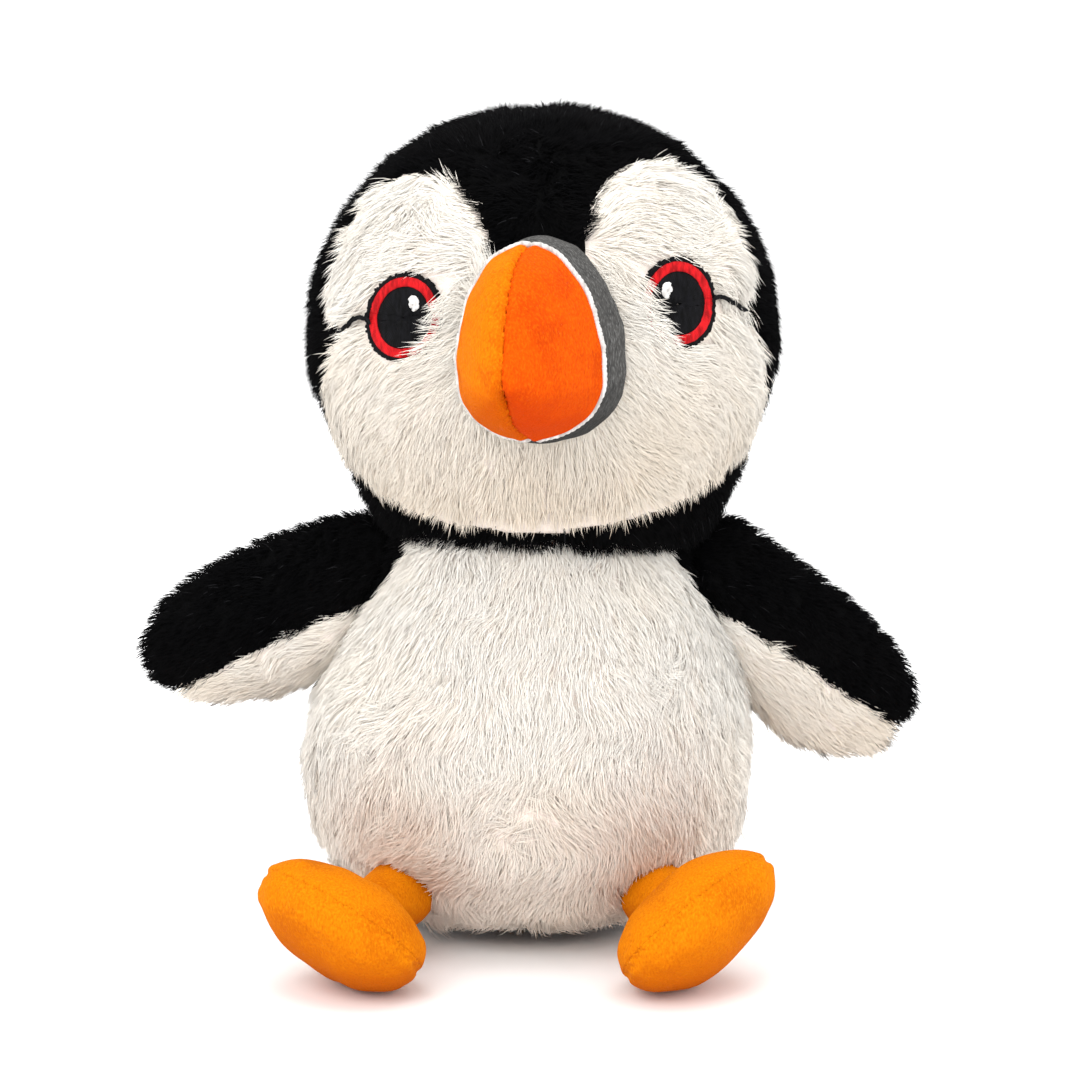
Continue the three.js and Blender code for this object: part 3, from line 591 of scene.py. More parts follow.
def dress(pieces, material, body, joined=None):
    """Material and body for pieces. With joined given, the pieces hang on no body and their place is baked
    into their points; the parts of joined, (other body, start, end), are not used.
    """
    for piece in pieces:
        piece.data.materials.clear()
        piece.data.materials.append(material)
        if joined:
            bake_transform(piece)
        else:
            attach(piece, body)


TIP_SHARE = 0.85  # a long tuft stands back from the border by this share of its length
LUMP_SIZE, SWIRL_SIZE = 11 * MM, 34 * MM
LUMPINESS = 0.35


def grow_on(name, skin, nodes, keep, long_pile, comb_of, seed, length, lift, swirl=0.35, also=None):
    """Pile on the parts of a skin that lie nearest to the kept CAD nodes, and where also
    says so. Long tips stay off all the rest."""
    roots, normals = scatter(skin, LONG_TUFTS if long_pile else SHORT_TUFTS, seed)
    lumps = ripples(roots, LUMP_SIZE, seed + 1)
    comb = comb_of(roots) + LUMPINESS * lumps + swirl * ripples(roots, SWIRL_SIZE, seed + 3)
    lie = unit(comb - normals * np.sum(comb * normals, axis=1, keepdims=True))
    own = [nodes.index(n) for n in keep]
    kept = np.ones(len(roots), bool)
    for spot in (roots, roots + lie * length * TIP_SHARE) if long_pile else (roots,):
        inside = np.isin(nearest_node(spot, nodes)[0], own)
        kept &= inside | also(spot) if also else inside
    roots, normals, comb, lumps = roots[kept], normals[kept], comb[kept], lumps[kept]
    lengths = length * (1 + 0.12 * lumps[:, 0])
    lifts = lift + 0.06 * lumps[:, 1]
    return grow_pile(name, roots, normals, comb, lengths, lifts, seed + 2, **(LONG if long_pile else SHORT))


SEAT_BAND, SEAT_LEVEL = 16 * MM, 0.4 * MM  # the filled seat settles flat on the floor
body_skin = wrapped("body_skin", BODY_NODES + ["body_stuffing"], voxel=5 * MM, rounds=6,
                    inset=LONG_ROOT_DEPTH + 1.5 * MM)
stuff(body_skin, pressure=4, most=2.5 * MM)
refine(body_skin, levels=1)
sink_seams(body_skin, BODY_NODES, width=3.5 * MM, depth=1.4 * MM)
seated = points_of(body_skin)
settle = np.clip((SEAT_BAND - seated[:, 2]) / (SEAT_BAND - seated[:, 2].min()), 0, 1)
seated[:, 2] -= (seated[:, 2].min() - SEAT_LEVEL) * settle
move_points(body_skin, seated)
body_cloths = cut_panels(body_skin, lambda at: nearest_node(at, BODY_NODES)[0],
                         ["belly_cloth", "back_cloth_left", "back_cloth_right", "base_cloth"],
                         thickness=1.0 * MM)
DOWNWARDS = np.array([0.0, 0.0, -1.0])
BODY_MIDDLE = np.array([-0.004, 0, 0.08])


def comb_down(roots):
    return DOWNWARDS + 0.25 * unit((roots - BODY_MIDDLE) * [1, 0.4, 0])


belly_hairs = grow_on("belly_pile", body_skin, BODY_NODES, ["belly_panel"], True, comb_down, seed=11,
                      length=9.5 * MM, lift=0.36, swirl=0.6)
dress([body_cloths["belly_cloth"]], cream_backing, "torso")
dress(belly_hairs, belly_pile, "torso")
back_hairs = grow_on("back_pile", body_skin, BODY_NODES, BODY_NODES[1:3], False, comb_down, seed=21,
                     length=5.2 * MM, lift=0.75)
dress([body_cloths[n] for n in ("back_cloth_left", "back_cloth_right", "base_cloth")], black_backing,
      "torso")
dress(back_hairs, black_pile, "torso")
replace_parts(body_cloths["belly_cloth"], "belly_panel", "body_stuffing", "pellet_pouch")
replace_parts(body_cloths["back_cloth_left"], "back_panel_left")
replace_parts(body_cloths["back_cloth_right"], "back_panel_right")
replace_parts(body_cloths["base_cloth"], "base_panel")
bpy.data.objects.remove(body_skin)

# ------------------------------------------------------------------ tail and care label
# The tail is a flat stuffed wedge of short black pile at the foot of the back. Beside
# it a folded strip of white satin ribbon is caught in the seam.
TAIL_NODES = ["tail_top", "tail_underside"]
tail_skin = wrapped("tail_skin", TAIL_NODES + ["tail_stuffing"], voxel=2.5 * MM, rounds=4, inset=2.6 * MM)
stuff(tail_skin, pressure=4, most=1.5 * MM)
refine(tail_skin, levels=1)
sink_seams(tail_skin, TAIL_NODES, width=1.5 * MM, depth=0.6 * MM)
tail_cloths = cut_panels(tail_skin, lambda at: nearest_node(at, TAIL_NODES)[0],
                         ["tail_cloth_top", "tail_cloth_underside"], thickness=0.8 * MM)
tail_hairs = grow_on("tail_pile", tail_skin, TAIL_NODES, TAIL_NODES, False,
                     lambda roots: np.array([0, 1.0, -0.2]), seed=31, length=4.6 * MM, lift=0.45)
dress(list(tail_cloths.values()), black_backing, "torso")
dress(tail_hairs, black_pile, "torso")
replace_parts(tail_cloths["tail_cloth_top"], "tail_top", "tail_stuffing")
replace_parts(tail_cloths["tail_cloth_underside"], "tail_underside")
bpy.data.objects.remove(tail_skin)

satin, tree, shader = plain_material("satin ribbon", 0.32, 0.1)
threads = tree.nodes.new("ShaderNodeTexWave")
threads.inputs["Scale"].default_value = 900
threads.inputs["Distortion"].default_value = 0.6
tree.links.new(tree.nodes.new("ShaderNodeTexCoord").outputs["Object"], threads.inputs["Vector"])
tree.links.new(mix_colors(tree, threads.outputs["Fac"], (0.78, 0.77, 0.74, 1), (0.92, 0.92, 0.9, 1)),
               shader.inputs["Base Color"])
care_label = frame["nodes"]["care_label"]
care_label.data.materials.clear()
care_label.data.materials.append(satin)

# ------------------------------------------------------------------ neck
# The neck is a loose round plug of white fibre filling. It is packed into the hollow
# under the head, held there by the head's rim, and lets the head turn and nod.
filling, tree, shader = plain_material("fibre filling", 0.95, 0.3)
wisps = object_noise(tree, 260.0, 6.0)
tree.links.new(mix_colors(tree, remap(tree, wisps, 0.3, 0.7), (0.7, 0.7, 0.68, 1), (0.93, 0.93, 0.91, 1)),
               shader.inputs["Base Color"])
neck_plug = wrapped("neck_filling", ["neck_stuffing"], voxel=3 * MM, rounds=4, inset=1 * MM)
dress([neck_plug], filling, "neck")
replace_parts(neck_plug, "neck_stuffing")

# ------------------------------------------------------------------ head
# The head is a round stuffed bag. Two black panels make its sides, crown and chin, and
# four long-pile cream patches the face; their pile splays out over the black.
HEAD_NODES = ["head_panel_left", "head_panel_right", "face_upper_left", "face_upper_right",
              "face_lower_left", "face_lower_right"]
EYE_NODES = [f"eye_{part}_{side}" for side in ("left", "right")
             for part in ("outline", "ring", "pupil", "highlight", "line")]
RIM_BAND, RIM_DROP = 9 * MM, 5 * MM  # the chin's cloth laps down on the neck by the drop
rim = cad_points(*HEAD_NODES[:2])
rim = rim[rim[:, 2] < rim[:, 2].min() + RIM_BAND] - [0, 0, RIM_DROP]
head_skin = wrapped("head_skin", HEAD_NODES, voxel=5 * MM, rounds=5, inset=LONG_ROOT_DEPTH, also=rim)
stuff(head_skin, pressure=4, most=2.5 * MM)
refine(head_skin, levels=1)
sink_seams(head_skin, HEAD_NODES, width=3 * MM, depth=1.2 * MM)
head_cloths = cut_panels(head_skin, lambda at: nearest_node(at, HEAD_NODES)[0],
                         [n.replace("panel", "cloth") if "panel" in n else n + "_cloth" for n in HEAD_NODES],
                         thickness=1.0 * MM)
beak_low, beak_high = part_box("beak_stuffing")
piping_low, piping_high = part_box("beak_piping")
beak_middle = np.array([(piping_low.x + piping_high.x) / 2, 0, (beak_low.z + beak_high.z) / 2])


def comb_from_beak(roots):
    away = unit((roots - beak_middle) * [1, 0, 1])
    return away + 0.55 * DOWNWARDS


def comb_back(roots):
    return np.array([0, 0.7, -0.75]) + 0.2 * unit(roots * [1, 0, 0])


HEAD_AND_EYES = HEAD_NODES + EYE_NODES
EYE_MIDDLES = np.array([cad_points(f"eye_outline_{side}")[:, [0, 2]].mean(0) for side in ("left", "right")])
EYE_INWARD = np.array([[0.89, -0.46], [-0.91, -0.42]])  # towards the beak and down
EYE_SHOWS = np.array([6.3 * MM, 5.1 * MM])  # from the eye's middle to where the pile laps over it
LAP_REACH = 15 * MM


def over_eye(points):
    """Which points lie over the inner edge of an eye, where the long pile laps on it."""
    number = (points[:, 0] > beak_middle[0]).astype(int)
    off = points[:, [0, 2]] - EYE_MIDDLES[number]
    lapped = np.sum(off * EYE_INWARD[number], axis=1) > EYE_SHOWS[number]
    return lapped & (np.hypot(*off.T) < LAP_REACH) & (points[:, 1] < 0)


face_hairs = grow_on("face_pile", head_skin, HEAD_AND_EYES, HEAD_NODES[2:], True, comb_from_beak, seed=41,
                     length=9.0 * MM, lift=0.4, swirl=0.45, also=over_eye)
crown_hairs = grow_on("head_pile", head_skin, HEAD_AND_EYES, HEAD_NODES[:2], False, comb_back, seed=51,
                      length=5.2 * MM, lift=0.75)
for node, cloth in zip(HEAD_NODES, head_cloths.values()):
    black = node in HEAD_NODES[:2]
    backing, slot_name = (black_backing, "black_plush") if black else (cream_backing, "cream_plush")
    dress([cloth], backing, "head")
    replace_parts(cloth, node)
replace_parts(head_cloths["head_cloth_left"], "head_stuffing")
dress(face_hairs, face_pile, "head")
dress(crown_hairs, black_pile, "head")
head_tree = surface_tree(head_skin.data)
bpy.data.objects.remove(head_skin)

# ------------------------------------------------------------------ eyes
# Each eye is satin stitch on the face cloth: a toothed black outline, a red ring of
# radial stitches, a black pupil and a small white highlight, with a stitched line out
# to the cheek. The stitches stand about 1.5 mm above the face cloth.
thread_shade, given, made = new_group("thread shade", [
    ("Thread Color", "Color", (0.5, 0.5, 0.5, 1)), ("Shadow Color", "Color", (0.2, 0.2, 0.2, 1)),
    ("Fineness", "Float", 900.0)], [("Color", "Color"), ("Height", "Float")])
strands = object_noise(thread_shade, given.outputs["Fineness"], 2.0, (1, 0.3, 0.3))
strand_color = mix_colors(thread_shade, remap(thread_shade, strands, 0.35, 0.62),
                          given.outputs["Shadow Color"], given.outputs["Thread Color"])
thread_shade.links.new(strand_color, made.inputs["Color"])
thread_shade.links.new(strands, made.inputs["Height"])


def thread_material(name, color, shadow, roughness, fineness=900.0):
    material, tree, shader = plain_material(name, roughness, specular=THREAD_SPECULAR)
    thread = place_group(tree, thread_shade, {"Thread Color": (*color, 1), "Shadow Color": (*shadow, 1),
                                              "Fineness": fineness})
    tree.links.new(thread.outputs["Color"], shader.inputs["Base Color"])
    raise_surface(tree, shader, thread.outputs["Height"], strength=0.5, distance=0.2 * MM)
    return material


red_thread = thread_material("red thread", (0.6, 0.008, 0.012), (0.3, 0.003, 0.005), 0.5)
black_thread = thread_material("black thread", (0.0045, 0.0045, 0.006), (0.001, 0.001, 0.0013), 0.65)
white_thread = thread_material("white thread", (0.9, 0.89, 0.87), (0.6, 0.58, 0.56), 0.45)
STITCH_LIFT = 1.5 * MM  # stitches above the face cloth
STITCH_THICK = 1.2 * MM
STITCH_CROWN = 0.45 * MM  # each stitch rises this much in its middle
STITCH_ROWS, STITCH_STEPS = 7, 4  # points across a stitch, and along the edge from one to the next
LAP_FADE = 2 * MM
IN_FRONT = -0.3  # well ahead of the face
LINE_RADIUS, LINE_POINTS = 0.75 * MM, 40
LAP_SINK = 1.6 * MM  # how far the stitches sink where the pile laps over them
LINE_LIFT = 2.8 * MM  # the stitched line, which lies on top of the pile
LINE_TUCK = 2.4 * MM  # and tucks under the eye's outline


def flat_ellipse(node):
    """Middle, long and short half sizes, and the long axis's lean, seen from the front."""
    points = cad_points(node)[:, [0, 2]]
    middle = (points.min(0) + points.max(0)) / 2
    best = None
    for lean in np.radians(np.arange(-35, 36)):
        axis = np.array([math.sin(lean), math.cos(lean)])
        long = np.abs((points - middle) @ axis).max()
        short = np.abs((points - middle) @ np.array([axis[1], -axis[0]])).max()
        if best is None or short < best[2]:
            best = (middle, long, short, lean)
    return best


def on_face(x, z, lift):
    """The place on the face cloth straight behind x and z, and out from it by the lift."""
    spot, normal, _, _ = head_tree.ray_cast(Vector((x, IN_FRONT, z)), Vector((0, 1, 0)))
    number = int(x > beak_middle[0])
    past = float((np.array([x, z]) - EYE_MIDDLES[number]) @ EYE_INWARD[number] - EYE_SHOWS[number])
    return spot + normal * (lift - LAP_SINK * min(1, max(0, past / LAP_FADE + 0.5)))


def stitched(name, ellipse, inner, outer, threads, tooth, seed, lift):
    """A closed pad of satin stitch between two scaled copies of an ellipse."""
    middle, long, short, lean = ellipse
    around = threads * STITCH_STEPS
    teeth = np.random.default_rng(seed).uniform(-tooth, tooth, threads)
    up = Vector((math.sin(lean), math.cos(lean)))
    side = Vector((up.y, -up.x))

    def place(i, t, rise):
        angle = 2 * math.pi * i / around
        edge = teeth[i // STITCH_STEPS]
        size_long = inner * long + (long * (outer - inner) + edge) * t
        size_short = inner * short + (short * (outer - inner) + edge) * t
        flat = up * (size_long * math.cos(angle)) + side * (size_short * math.sin(angle))
        return on_face(middle[0] + flat.x, middle[1] + flat.y, rise)

    points = []
    for i in range(around):
        ridge = abs(math.sin(math.pi * i / STITCH_STEPS + 0.4))
        for j in range(STITCH_ROWS):
            t = j / (STITCH_ROWS - 1)
            crown = STITCH_CROWN * math.sin(math.pi * t) ** 0.5 * (0.55 + 0.45 * ridge)
            points.append(place(i, t, STITCH_LIFT + lift + crown))
        for t in (1, 0):
            points.append(place(i, t, STITCH_LIFT - STITCH_THICK))
    ring = STITCH_ROWS + 2
    faces = [[i * ring + j, i * ring + (j + 1) % ring, (i + 1) % around * ring + (j + 1) % ring,
              (i + 1) % around * ring + j] for i in range(around) for j in range(ring)]
    mesh = build_mesh(name, [tuple(p) for p in points], faces)
    make_smooth(mesh)
    bm = bmesh.new()
    bm.from_mesh(mesh)
    bmesh.ops.recalc_face_normals(bm, faces=bm.faces)
    bm.to_mesh(mesh)
    bm.free()
    return add_object(name, mesh)


CORD_SIDES = 10
FORWARD = Vector((0, -1, 0))


def cord(name, path, radius, ribs, rib_depth, flatten=1.0, closed=False):
    """A ribbed cord along a list of points, with tapered ends unless it is closed."""
    count, sides = len(path), CORD_SIDES
    points = []
    for i, spot in enumerate(path):
        before = path[(i - 1) % count] if closed else path[max(i - 1, 0)]
        after = path[(i + 1) % count] if closed else path[min(i + 1, count - 1)]
        along = (after - before).normalized()
        out = (FORWARD - along * along.dot(FORWARD)).normalized()
        side = along.cross(out)
        end = 1.0 if closed else min(1.0, 0.35 + 6 * min(i, count - 1 - i) / count)
        swell = end * radius * (1 + rib_depth * math.sin(2 * math.pi * ribs * i / count))
        for k in range(sides):
            angle = 2 * math.pi * k / sides
            points.append(spot + out * math.cos(angle) * swell * flatten + side * math.sin(angle) * swell)
    lengths = count if closed else count - 1
    faces = [[i * sides + k, i * sides + (k + 1) % sides, (i + 1) % count * sides + (k + 1) % sides,
              (i + 1) % count * sides + k] for i in range(lengths) for k in range(sides)]
    bm = bmesh.new()
    made = [bm.verts.new(p) for p in points]
    for face in faces:
        bm.faces.new([made[c] for c in face])
    if not closed:
        bm.faces.new(made[:sides])
        bm.faces.new(made[-sides:])
    bmesh.ops.recalc_face_normals(bm, faces=bm.faces)
    mesh = bpy.data.meshes.new(name)
    bm.to_mesh(mesh)
    bm.free()
    make_smooth(mesh)
    return add_object(name, mesh)


for number, side in enumerate(("left", "right")):
    eye = flat_ellipse(f"eye_outline_{side}")
    glint = flat_ellipse(f"eye_highlight_{side}")
    ring_outer = flat_ellipse(f"eye_ring_{side}")[1] / eye[1]
    ring_inner = flat_ellipse(f"eye_pupil_{side}")[1] / eye[1]
    for part, ellipse, inner, outer, threads, tooth, seed, lift, material in (
            ("outline", eye, ring_outer * 0.97, 1.0, 120, 0.35 * MM, 60, 0.0, black_thread),
            ("ring", eye, ring_inner * 0.97, ring_outer, 110, 0.08 * MM, 70, 0.1 * MM, red_thread),
            ("pupil", eye, 0.02, ring_inner, 70, 0.1 * MM, 80, 0.0, black_thread),
            ("highlight", glint, 0.03, 1.0, 22, 0.1 * MM, 90, 0.5 * MM, white_thread)):
        pad = stitched(f"eye_{part}_stitch_{side}", ellipse, inner, outer, threads, tooth, seed + number,
                       lift)
        dress([pad], material, "head")
        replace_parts(pad, f"eye_{part}_{side}")
    line_points = cad_points(f"eye_line_{side}")
    ends = [line_points[:, 0].min(), line_points[:, 0].max()]
    ends[1 - number] += (1 - 2 * number) * LINE_TUCK
    reach = np.linspace(*ends, LINE_POINTS)
    level = np.polyval(np.polyfit(line_points[:, 0], line_points[:, 2], 3), reach)
    line = cord(f"eye_line_stitch_{side}", [on_face(x, z, LINE_LIFT) for x, z in zip(reach, level)],
                LINE_RADIUS, ribs=13, rib_depth=0.06, flatten=0.8)
    dress([line], black_thread, "head")
    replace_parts(line, f"eye_line_{side}")

# ------------------------------------------------------------------ beak
# The beak is a deep stuffed wedge of short orange velour in two halves with a puckered
# ridge seam. A ribbed white piping and a grey marled band join it to the face.
NAP_SHEEN = 0.03
velour_nap, given, made = new_group("velour nap", [
    ("Main Color", "Color", (0.8, 0.3, 0.05, 1)), ("Deep Color", "Color", (0.6, 0.15, 0.02, 1)),
    ("Light Color", "Color", (0.9, 0.5, 0.1, 1)), ("Patch Scale", "Float", 60.0),
    ("Patch Amount", "Float", 0.5), ("Grain Scale", "Float", 1500.0)],
    [("Color", "Color"), ("Height", "Float")])
broad = object_noise(velour_nap, given.outputs["Patch Scale"], 3.0)
brushed = object_noise(velour_nap, given.outputs["Grain Scale"], 2.0, (1, 1, 0.55))
deep_color = given.outputs["Deep Color"]
broad_mask = remap(velour_nap, broad, 0.48, 0.62)
is_patch = calculate(velour_nap, "MULTIPLY", broad_mask, given.outputs["Patch Amount"])
patched = mix_colors(velour_nap, is_patch, given.outputs["Main Color"], deep_color)
flecked = mix_colors(velour_nap, remap(velour_nap, brushed, 0.5, 0.72, 0.0, 0.55), patched,
                     given.outputs["Light Color"])
pitted = mix_colors(velour_nap, remap(velour_nap, brushed, 0.46, 0.3, 0.0, 0.5), flecked, deep_color)
# Faces that turn towards the floor are painted deeper: painted shade on the undersides of the beak, the band,
# the legs and the feet.
facing = velour_nap.nodes.new("ShaderNodeSeparateXYZ")
velour_nap.links.new(velour_nap.nodes.new("ShaderNodeTexCoord").outputs["Normal"], facing.inputs[0])
painted_underside_shade = remap(velour_nap, facing.outputs["Z"], 0.0, -0.75, 0.0, 0.85)
velour_nap.links.new(mix_colors(velour_nap, painted_underside_shade, pitted, deep_color), made.inputs["Color"])
velour_nap.links.new(brushed, made.inputs["Height"])


def velour_material(name, main, deep, light, patch_scale, patch_amount, grain=1500.0):
    material, tree, shader = plain_material(name, 0.85, NAP_SHEEN, (*light, 1))
    nap = place_group(tree, velour_nap, {
        "Main Color": (*main, 1), "Deep Color": (*deep, 1), "Light Color": (*light, 1),
        "Patch Scale": patch_scale, "Patch Amount": patch_amount, "Grain Scale": grain})
    tree.links.new(nap.outputs["Color"], shader.inputs["Base Color"])
    raise_surface(tree, shader, nap.outputs["Height"], strength=0.7, distance=0.8 * MM)
    return material


# The two halves are one velour; the right half's deeper colour is painted shade on the flank turned away from
# the key light.
beak_light_velour = velour_material(
    "orange velour left", main=(0.72, 0.165, 0.0015), deep=(0.5, 0.07, 0.001), light=(0.8, 0.24, 0.005),
    patch_scale=70.0, patch_amount=0.5)
beak_shaded_velour = velour_material(
    "orange velour right", main=(0.7, 0.08, 0.001), deep=(0.5, 0.04, 0.001), light=(0.78, 0.14, 0.003),
    patch_scale=60.0, patch_amount=0.55)
marl = velour_material(
    "grey marl", main=(0.075, 0.073, 0.07), deep=(0.03, 0.03, 0.03), light=(0.22, 0.22, 0.215),
    patch_scale=300.0, patch_amount=0.4, grain=1100.0)
cord_cotton = thread_material("cord cotton", (0.72, 0.7, 0.68), (0.45, 0.43, 0.41), 0.7, 700.0)

BEAK_NODES = ["beak_panel_left", "beak_panel_right", "beak_band_left", "beak_band_right"]
beak_skin = wrapped("beak_skin", BEAK_NODES + ["beak_stuffing"], voxel=3 * MM, rounds=4, inset=0.6 * MM)
stuff(beak_skin, pressure=3, most=1.2 * MM)
refine(beak_skin, levels=2)
piping_y = (piping_low.y + piping_high.y) / 2
beak_points = points_of(beak_skin)
tip = beak_points[beak_points[:, 1].argmin()]
root_x = (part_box("beak_band_left")[0].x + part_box("beak_band_right")[1].x) / 2 - 3.0 * MM
seam_tip_x = tip[0] - 1.0 * MM


def seam_x(y):
    """Where the ridge seam lies across the beak: it swings to one side at the tip."""
    t = np.clip((piping_y - y) / (piping_y - tip[1]), 0, 1)
    return root_x + (seam_tip_x - root_x) * t ** 0.55


def pucker(distance, along, width, depth, pitch):
    """How far cloth draws in at a seam, deeper at each stitch, with a low swell beside it."""
    stitch = 1 + 0.35 * np.sin(2 * math.pi * along / pitch)
    swell = 0.35 * depth * np.exp(-((distance - 2.2 * width) / width) ** 2)
    return depth * np.exp(-(distance / width) ** 2) * stitch - swell


CREASE_BELOW, CREASE_LENGTH = 7 * MM, 6 * MM  # the crease under the beak's tip
CREASE_WIDTH, CREASE_DEPTH = 2.2 * MM, 3.6 * MM
TIP_PINCH, TIP_ROUND = 1.6 * MM, 6 * MM
BEAK_RADIUS = 30 * MM
off = np.abs(beak_points[:, 0] - seam_x(beak_points[:, 1]))
ahead = beak_points[:, 1] < piping_y
off_ring = np.abs(beak_points[:, 1] - piping_y)
reach = np.arctan2(beak_points[:, 2] - beak_middle[2], beak_points[:, 1] - piping_y) * BEAK_RADIUS
draw = np.where(ahead, pucker(off, reach, width=1.1 * MM, depth=0.9 * MM, pitch=3.2 * MM), 0)
draw += pucker(off_ring, reach, width=1.0 * MM, depth=0.8 * MM, pitch=3.0 * MM)
below = (tip[2] - beak_points[:, 2] - CREASE_BELOW) / CREASE_LENGTH
draw += CREASE_DEPTH * np.exp(-(off / CREASE_WIDTH) ** 2 - below ** 2) * ahead
draw -= TIP_PINCH * np.exp(-(np.linalg.norm(beak_points - tip, axis=1) / TIP_ROUND) ** 2)
wobble = ripples(beak_points, 16 * MM, 77)[:, :1] * 0.25 * MM
move_points(beak_skin, beak_points + normals_of(beak_skin) * (wobble - draw[:, None]))


def beak_label(at):
    back = at[:, 1] > piping_y
    right = at[:, 0] > np.where(back, root_x, seam_x(at[:, 1]))
    return back * 2 + right * 1


beak_cloths = cut_panels(beak_skin, beak_label, [
    "beak_velour_left", "beak_velour_right", "beak_marl_left", "beak_marl_right"], thickness=0.9 * MM)
for cloth, material, slot_name, nodes in (
        ("beak_velour_left", beak_light_velour, "orange_nap", ["beak_panel_left", "beak_stuffing"]),
        ("beak_velour_right", beak_shaded_velour, "orange_nap", ["beak_panel_right"]),
        ("beak_marl_left", marl, "grey_nap", ["beak_band_left"]),
        ("beak_marl_right", marl, "grey_nap", ["beak_band_right"])):
    dress([beak_cloths[cloth]], material, "head")
    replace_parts(beak_cloths[cloth], *nodes)
beak_tree = surface_tree(beak_skin.data)
ring_middle = (piping_low + piping_high) / 2
PIPING_POINTS, PIPING_RADIUS, PIPING_PROUD = 420, 1.15 * MM, 0.35 * MM
OUTSIDE = 0.09  # further out than any of the beak
piping_path = []
for i in range(PIPING_POINTS):
    angle = 2 * math.pi * i / PIPING_POINTS
    ray = Vector((math.sin(angle), 0, math.cos(angle)))
    spot = beak_tree.ray_cast(ring_middle + ray * OUTSIDE, -ray)[0]
    piping_path.append(spot + ray * PIPING_PROUD)
piping = cord("beak_piping_cord", piping_path, PIPING_RADIUS, ribs=105, rib_depth=0.09, closed=True)
dress([piping], cord_cotton, "head")
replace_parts(piping, "beak_piping")
bpy.data.objects.remove(beak_skin)

# ------------------------------------------------------------------ flippers
# Each flipper is a flat stuffed paddle: short black pile on top, long cream pile below.
# Its root is sewn into the shoulder.
BEND_START, BEND_END = -4 * MM, 34 * MM  # two distances out from the shoulder axis
SEWN_REACH = 37 * MM  # the root's seam on the body runs this far from the shoulder axis
YOKE_RISE = 32 * MM  # and this far up, where the head rests on it
YOKE_OUT = (-12 * MM, 6 * MM)
for number, side in enumerate(("left", "right")):
    hinge = next(j for j in frame["joints"] if j["name"] == f"wing_{side}_flap")
    shoulder = np.array(hinge["pos_m"])
    nodes = [f"wing_top_{side}", f"wing_underside_{side}"]
    outward = unit((cad_points(nodes[0]).mean(0) - shoulder)[None])[0]
    comb_out = outward + 0.35 * DOWNWARDS
    seed = 80 + 20 * number
    flank = cad_points(f"back_panel_{side}", "belly_panel")
    sewn = flank[np.linalg.norm((flank - shoulder) * [1, 1.5, 1], axis=1) < SEWN_REACH]
    yoke = shoulder + [[np.sign(outward[0]) * out, 0, YOKE_RISE] for out in YOKE_OUT]
    wing_skin = wrapped(f"wing_skin_{side}", nodes + [f"wing_stuffing_{side}"], voxel=3.5 * MM, rounds=5,
                        inset=3.0 * MM, also=np.concatenate([sewn, yoke]))
    stuff(wing_skin, pressure=4, most=2.2 * MM)
    refine(wing_skin, levels=1)
    sink_seams(wing_skin, nodes, width=2.5 * MM, depth=1.0 * MM)
    top, under = cut_panels(
        wing_skin, lambda at: nearest_node(at, nodes)[0],
        [f"wing_cloth_top_{side}", f"wing_cloth_underside_{side}"], thickness=0.9 * MM).values()

    top_hairs = grow_on(f"wing_pile_top_{side}", wing_skin, nodes, nodes[:1], False, lambda roots: comb_out,
                        seed, length=5.0 * MM, lift=0.72)
    under_hairs = grow_on(f"wing_pile_underside_{side}", wing_skin, nodes, nodes[1:], True,
                          lambda roots: comb_out, seed + 5, length=8.0 * MM, lift=0.4)
    bend = ("torso", Vector(shoulder + BEND_START * outward), Vector(shoulder + BEND_END * outward))
    dress([top], black_backing, f"wing_{side}", bend)
    dress([under], cream_backing, f"wing_{side}", bend)
    dress(top_hairs, black_pile, f"wing_{side}", bend)
    dress(under_hairs, wing_pile, f"wing_{side}", bend)
    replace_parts(top, nodes[0], f"wing_stuffing_{side}")
    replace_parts(under, nodes[1])
    bpy.data.objects.remove(wing_skin)

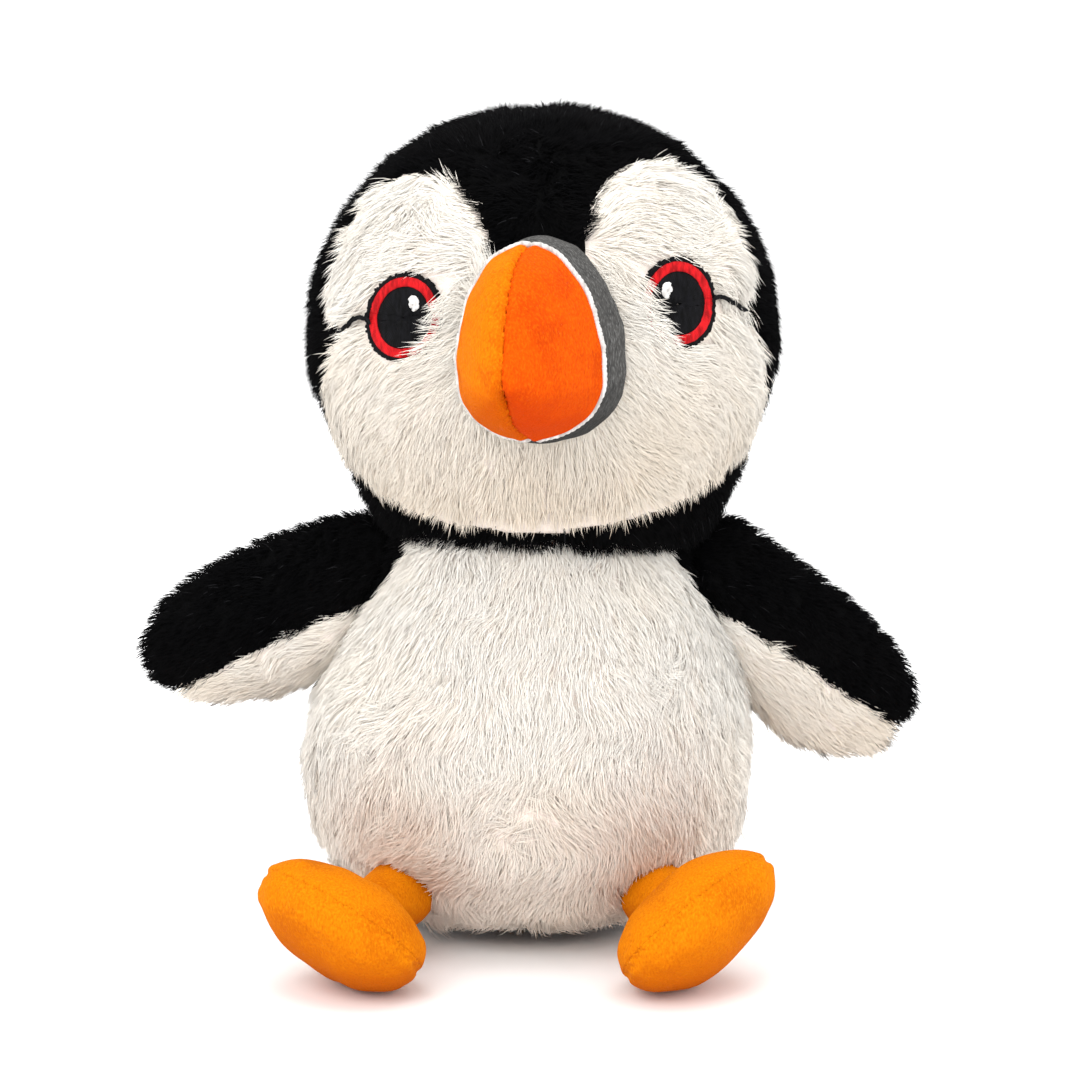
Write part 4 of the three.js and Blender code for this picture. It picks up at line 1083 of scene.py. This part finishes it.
# ------------------------------------------------------------------ legs and feet
# Short velour legs hold the webbed feet, which are two velour panels sewn together all
# round and stuffed. The seam puckers and the cloth folds softly beside it.
gold_velour = velour_material(
    "golden velour", main=(0.68, 0.185, 0.0015), deep=(0.48, 0.095, 0.001), light=(0.8, 0.28, 0.004),
    patch_scale=45.0, patch_amount=0.5)
FOOT_LEVEL = 0.3 * MM  # the lowest cloth of each foot above the floor
FOOT_RADIUS = 32 * MM
for number, side in enumerate(("left", "right")):
    nodes = [f"foot_top_{side}", f"foot_sole_{side}"]
    foot_skin = wrapped(f"foot_skin_{side}", nodes + [f"foot_stuffing_{side}"], voxel=4 * MM, rounds=4,
                        inset=1.0 * MM)
    stuff(foot_skin, pressure=4, most=2.0 * MM)
    refine(foot_skin, levels=2)
    points = points_of(foot_skin)
    _, away = nearest_node(points, nodes)
    off_seam = np.abs(away[0] - away[1])
    middle = points.mean(0)
    around = np.arctan2(points[:, 2] - middle[2], points[:, 0] - middle[0]) * FOOT_RADIUS
    draw = pucker(off_seam, around, width=1.1 * MM, depth=0.6 * MM, pitch=4.2 * MM)
    wobble = ripples(points, 22 * MM, 120 + number)[:, :1] * 0.5 * MM
    points = points + normals_of(foot_skin) * (wobble - draw[:, None])
    points[:, 2] += FOOT_LEVEL - points[:, 2].min()
    move_points(foot_skin, points)
    cloths = cut_panels(foot_skin, lambda at: nearest_node(at, nodes)[0],
                        [f"foot_velour_top_{side}", f"foot_velour_sole_{side}"], thickness=0.9 * MM)
    for cloth, node in zip(cloths.values(), nodes):
        dress([cloth], gold_velour, f"foot_{side}")
        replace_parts(cloth, node)
    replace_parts(next(iter(cloths.values())), f"foot_stuffing_{side}")
    bpy.data.objects.remove(foot_skin)
    leg = wrapped(f"leg_velour_{side}", [f"leg_cover_{side}", f"leg_stuffing_{side}"], voxel=3 * MM, rounds=4,
                  inset=0.5 * MM)
    refine(leg, levels=1)
    make_smooth(leg.data)
    dress([leg], gold_velour, f"foot_{side}")
    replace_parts(leg, f"leg_cover_{side}", f"leg_stuffing_{side}")
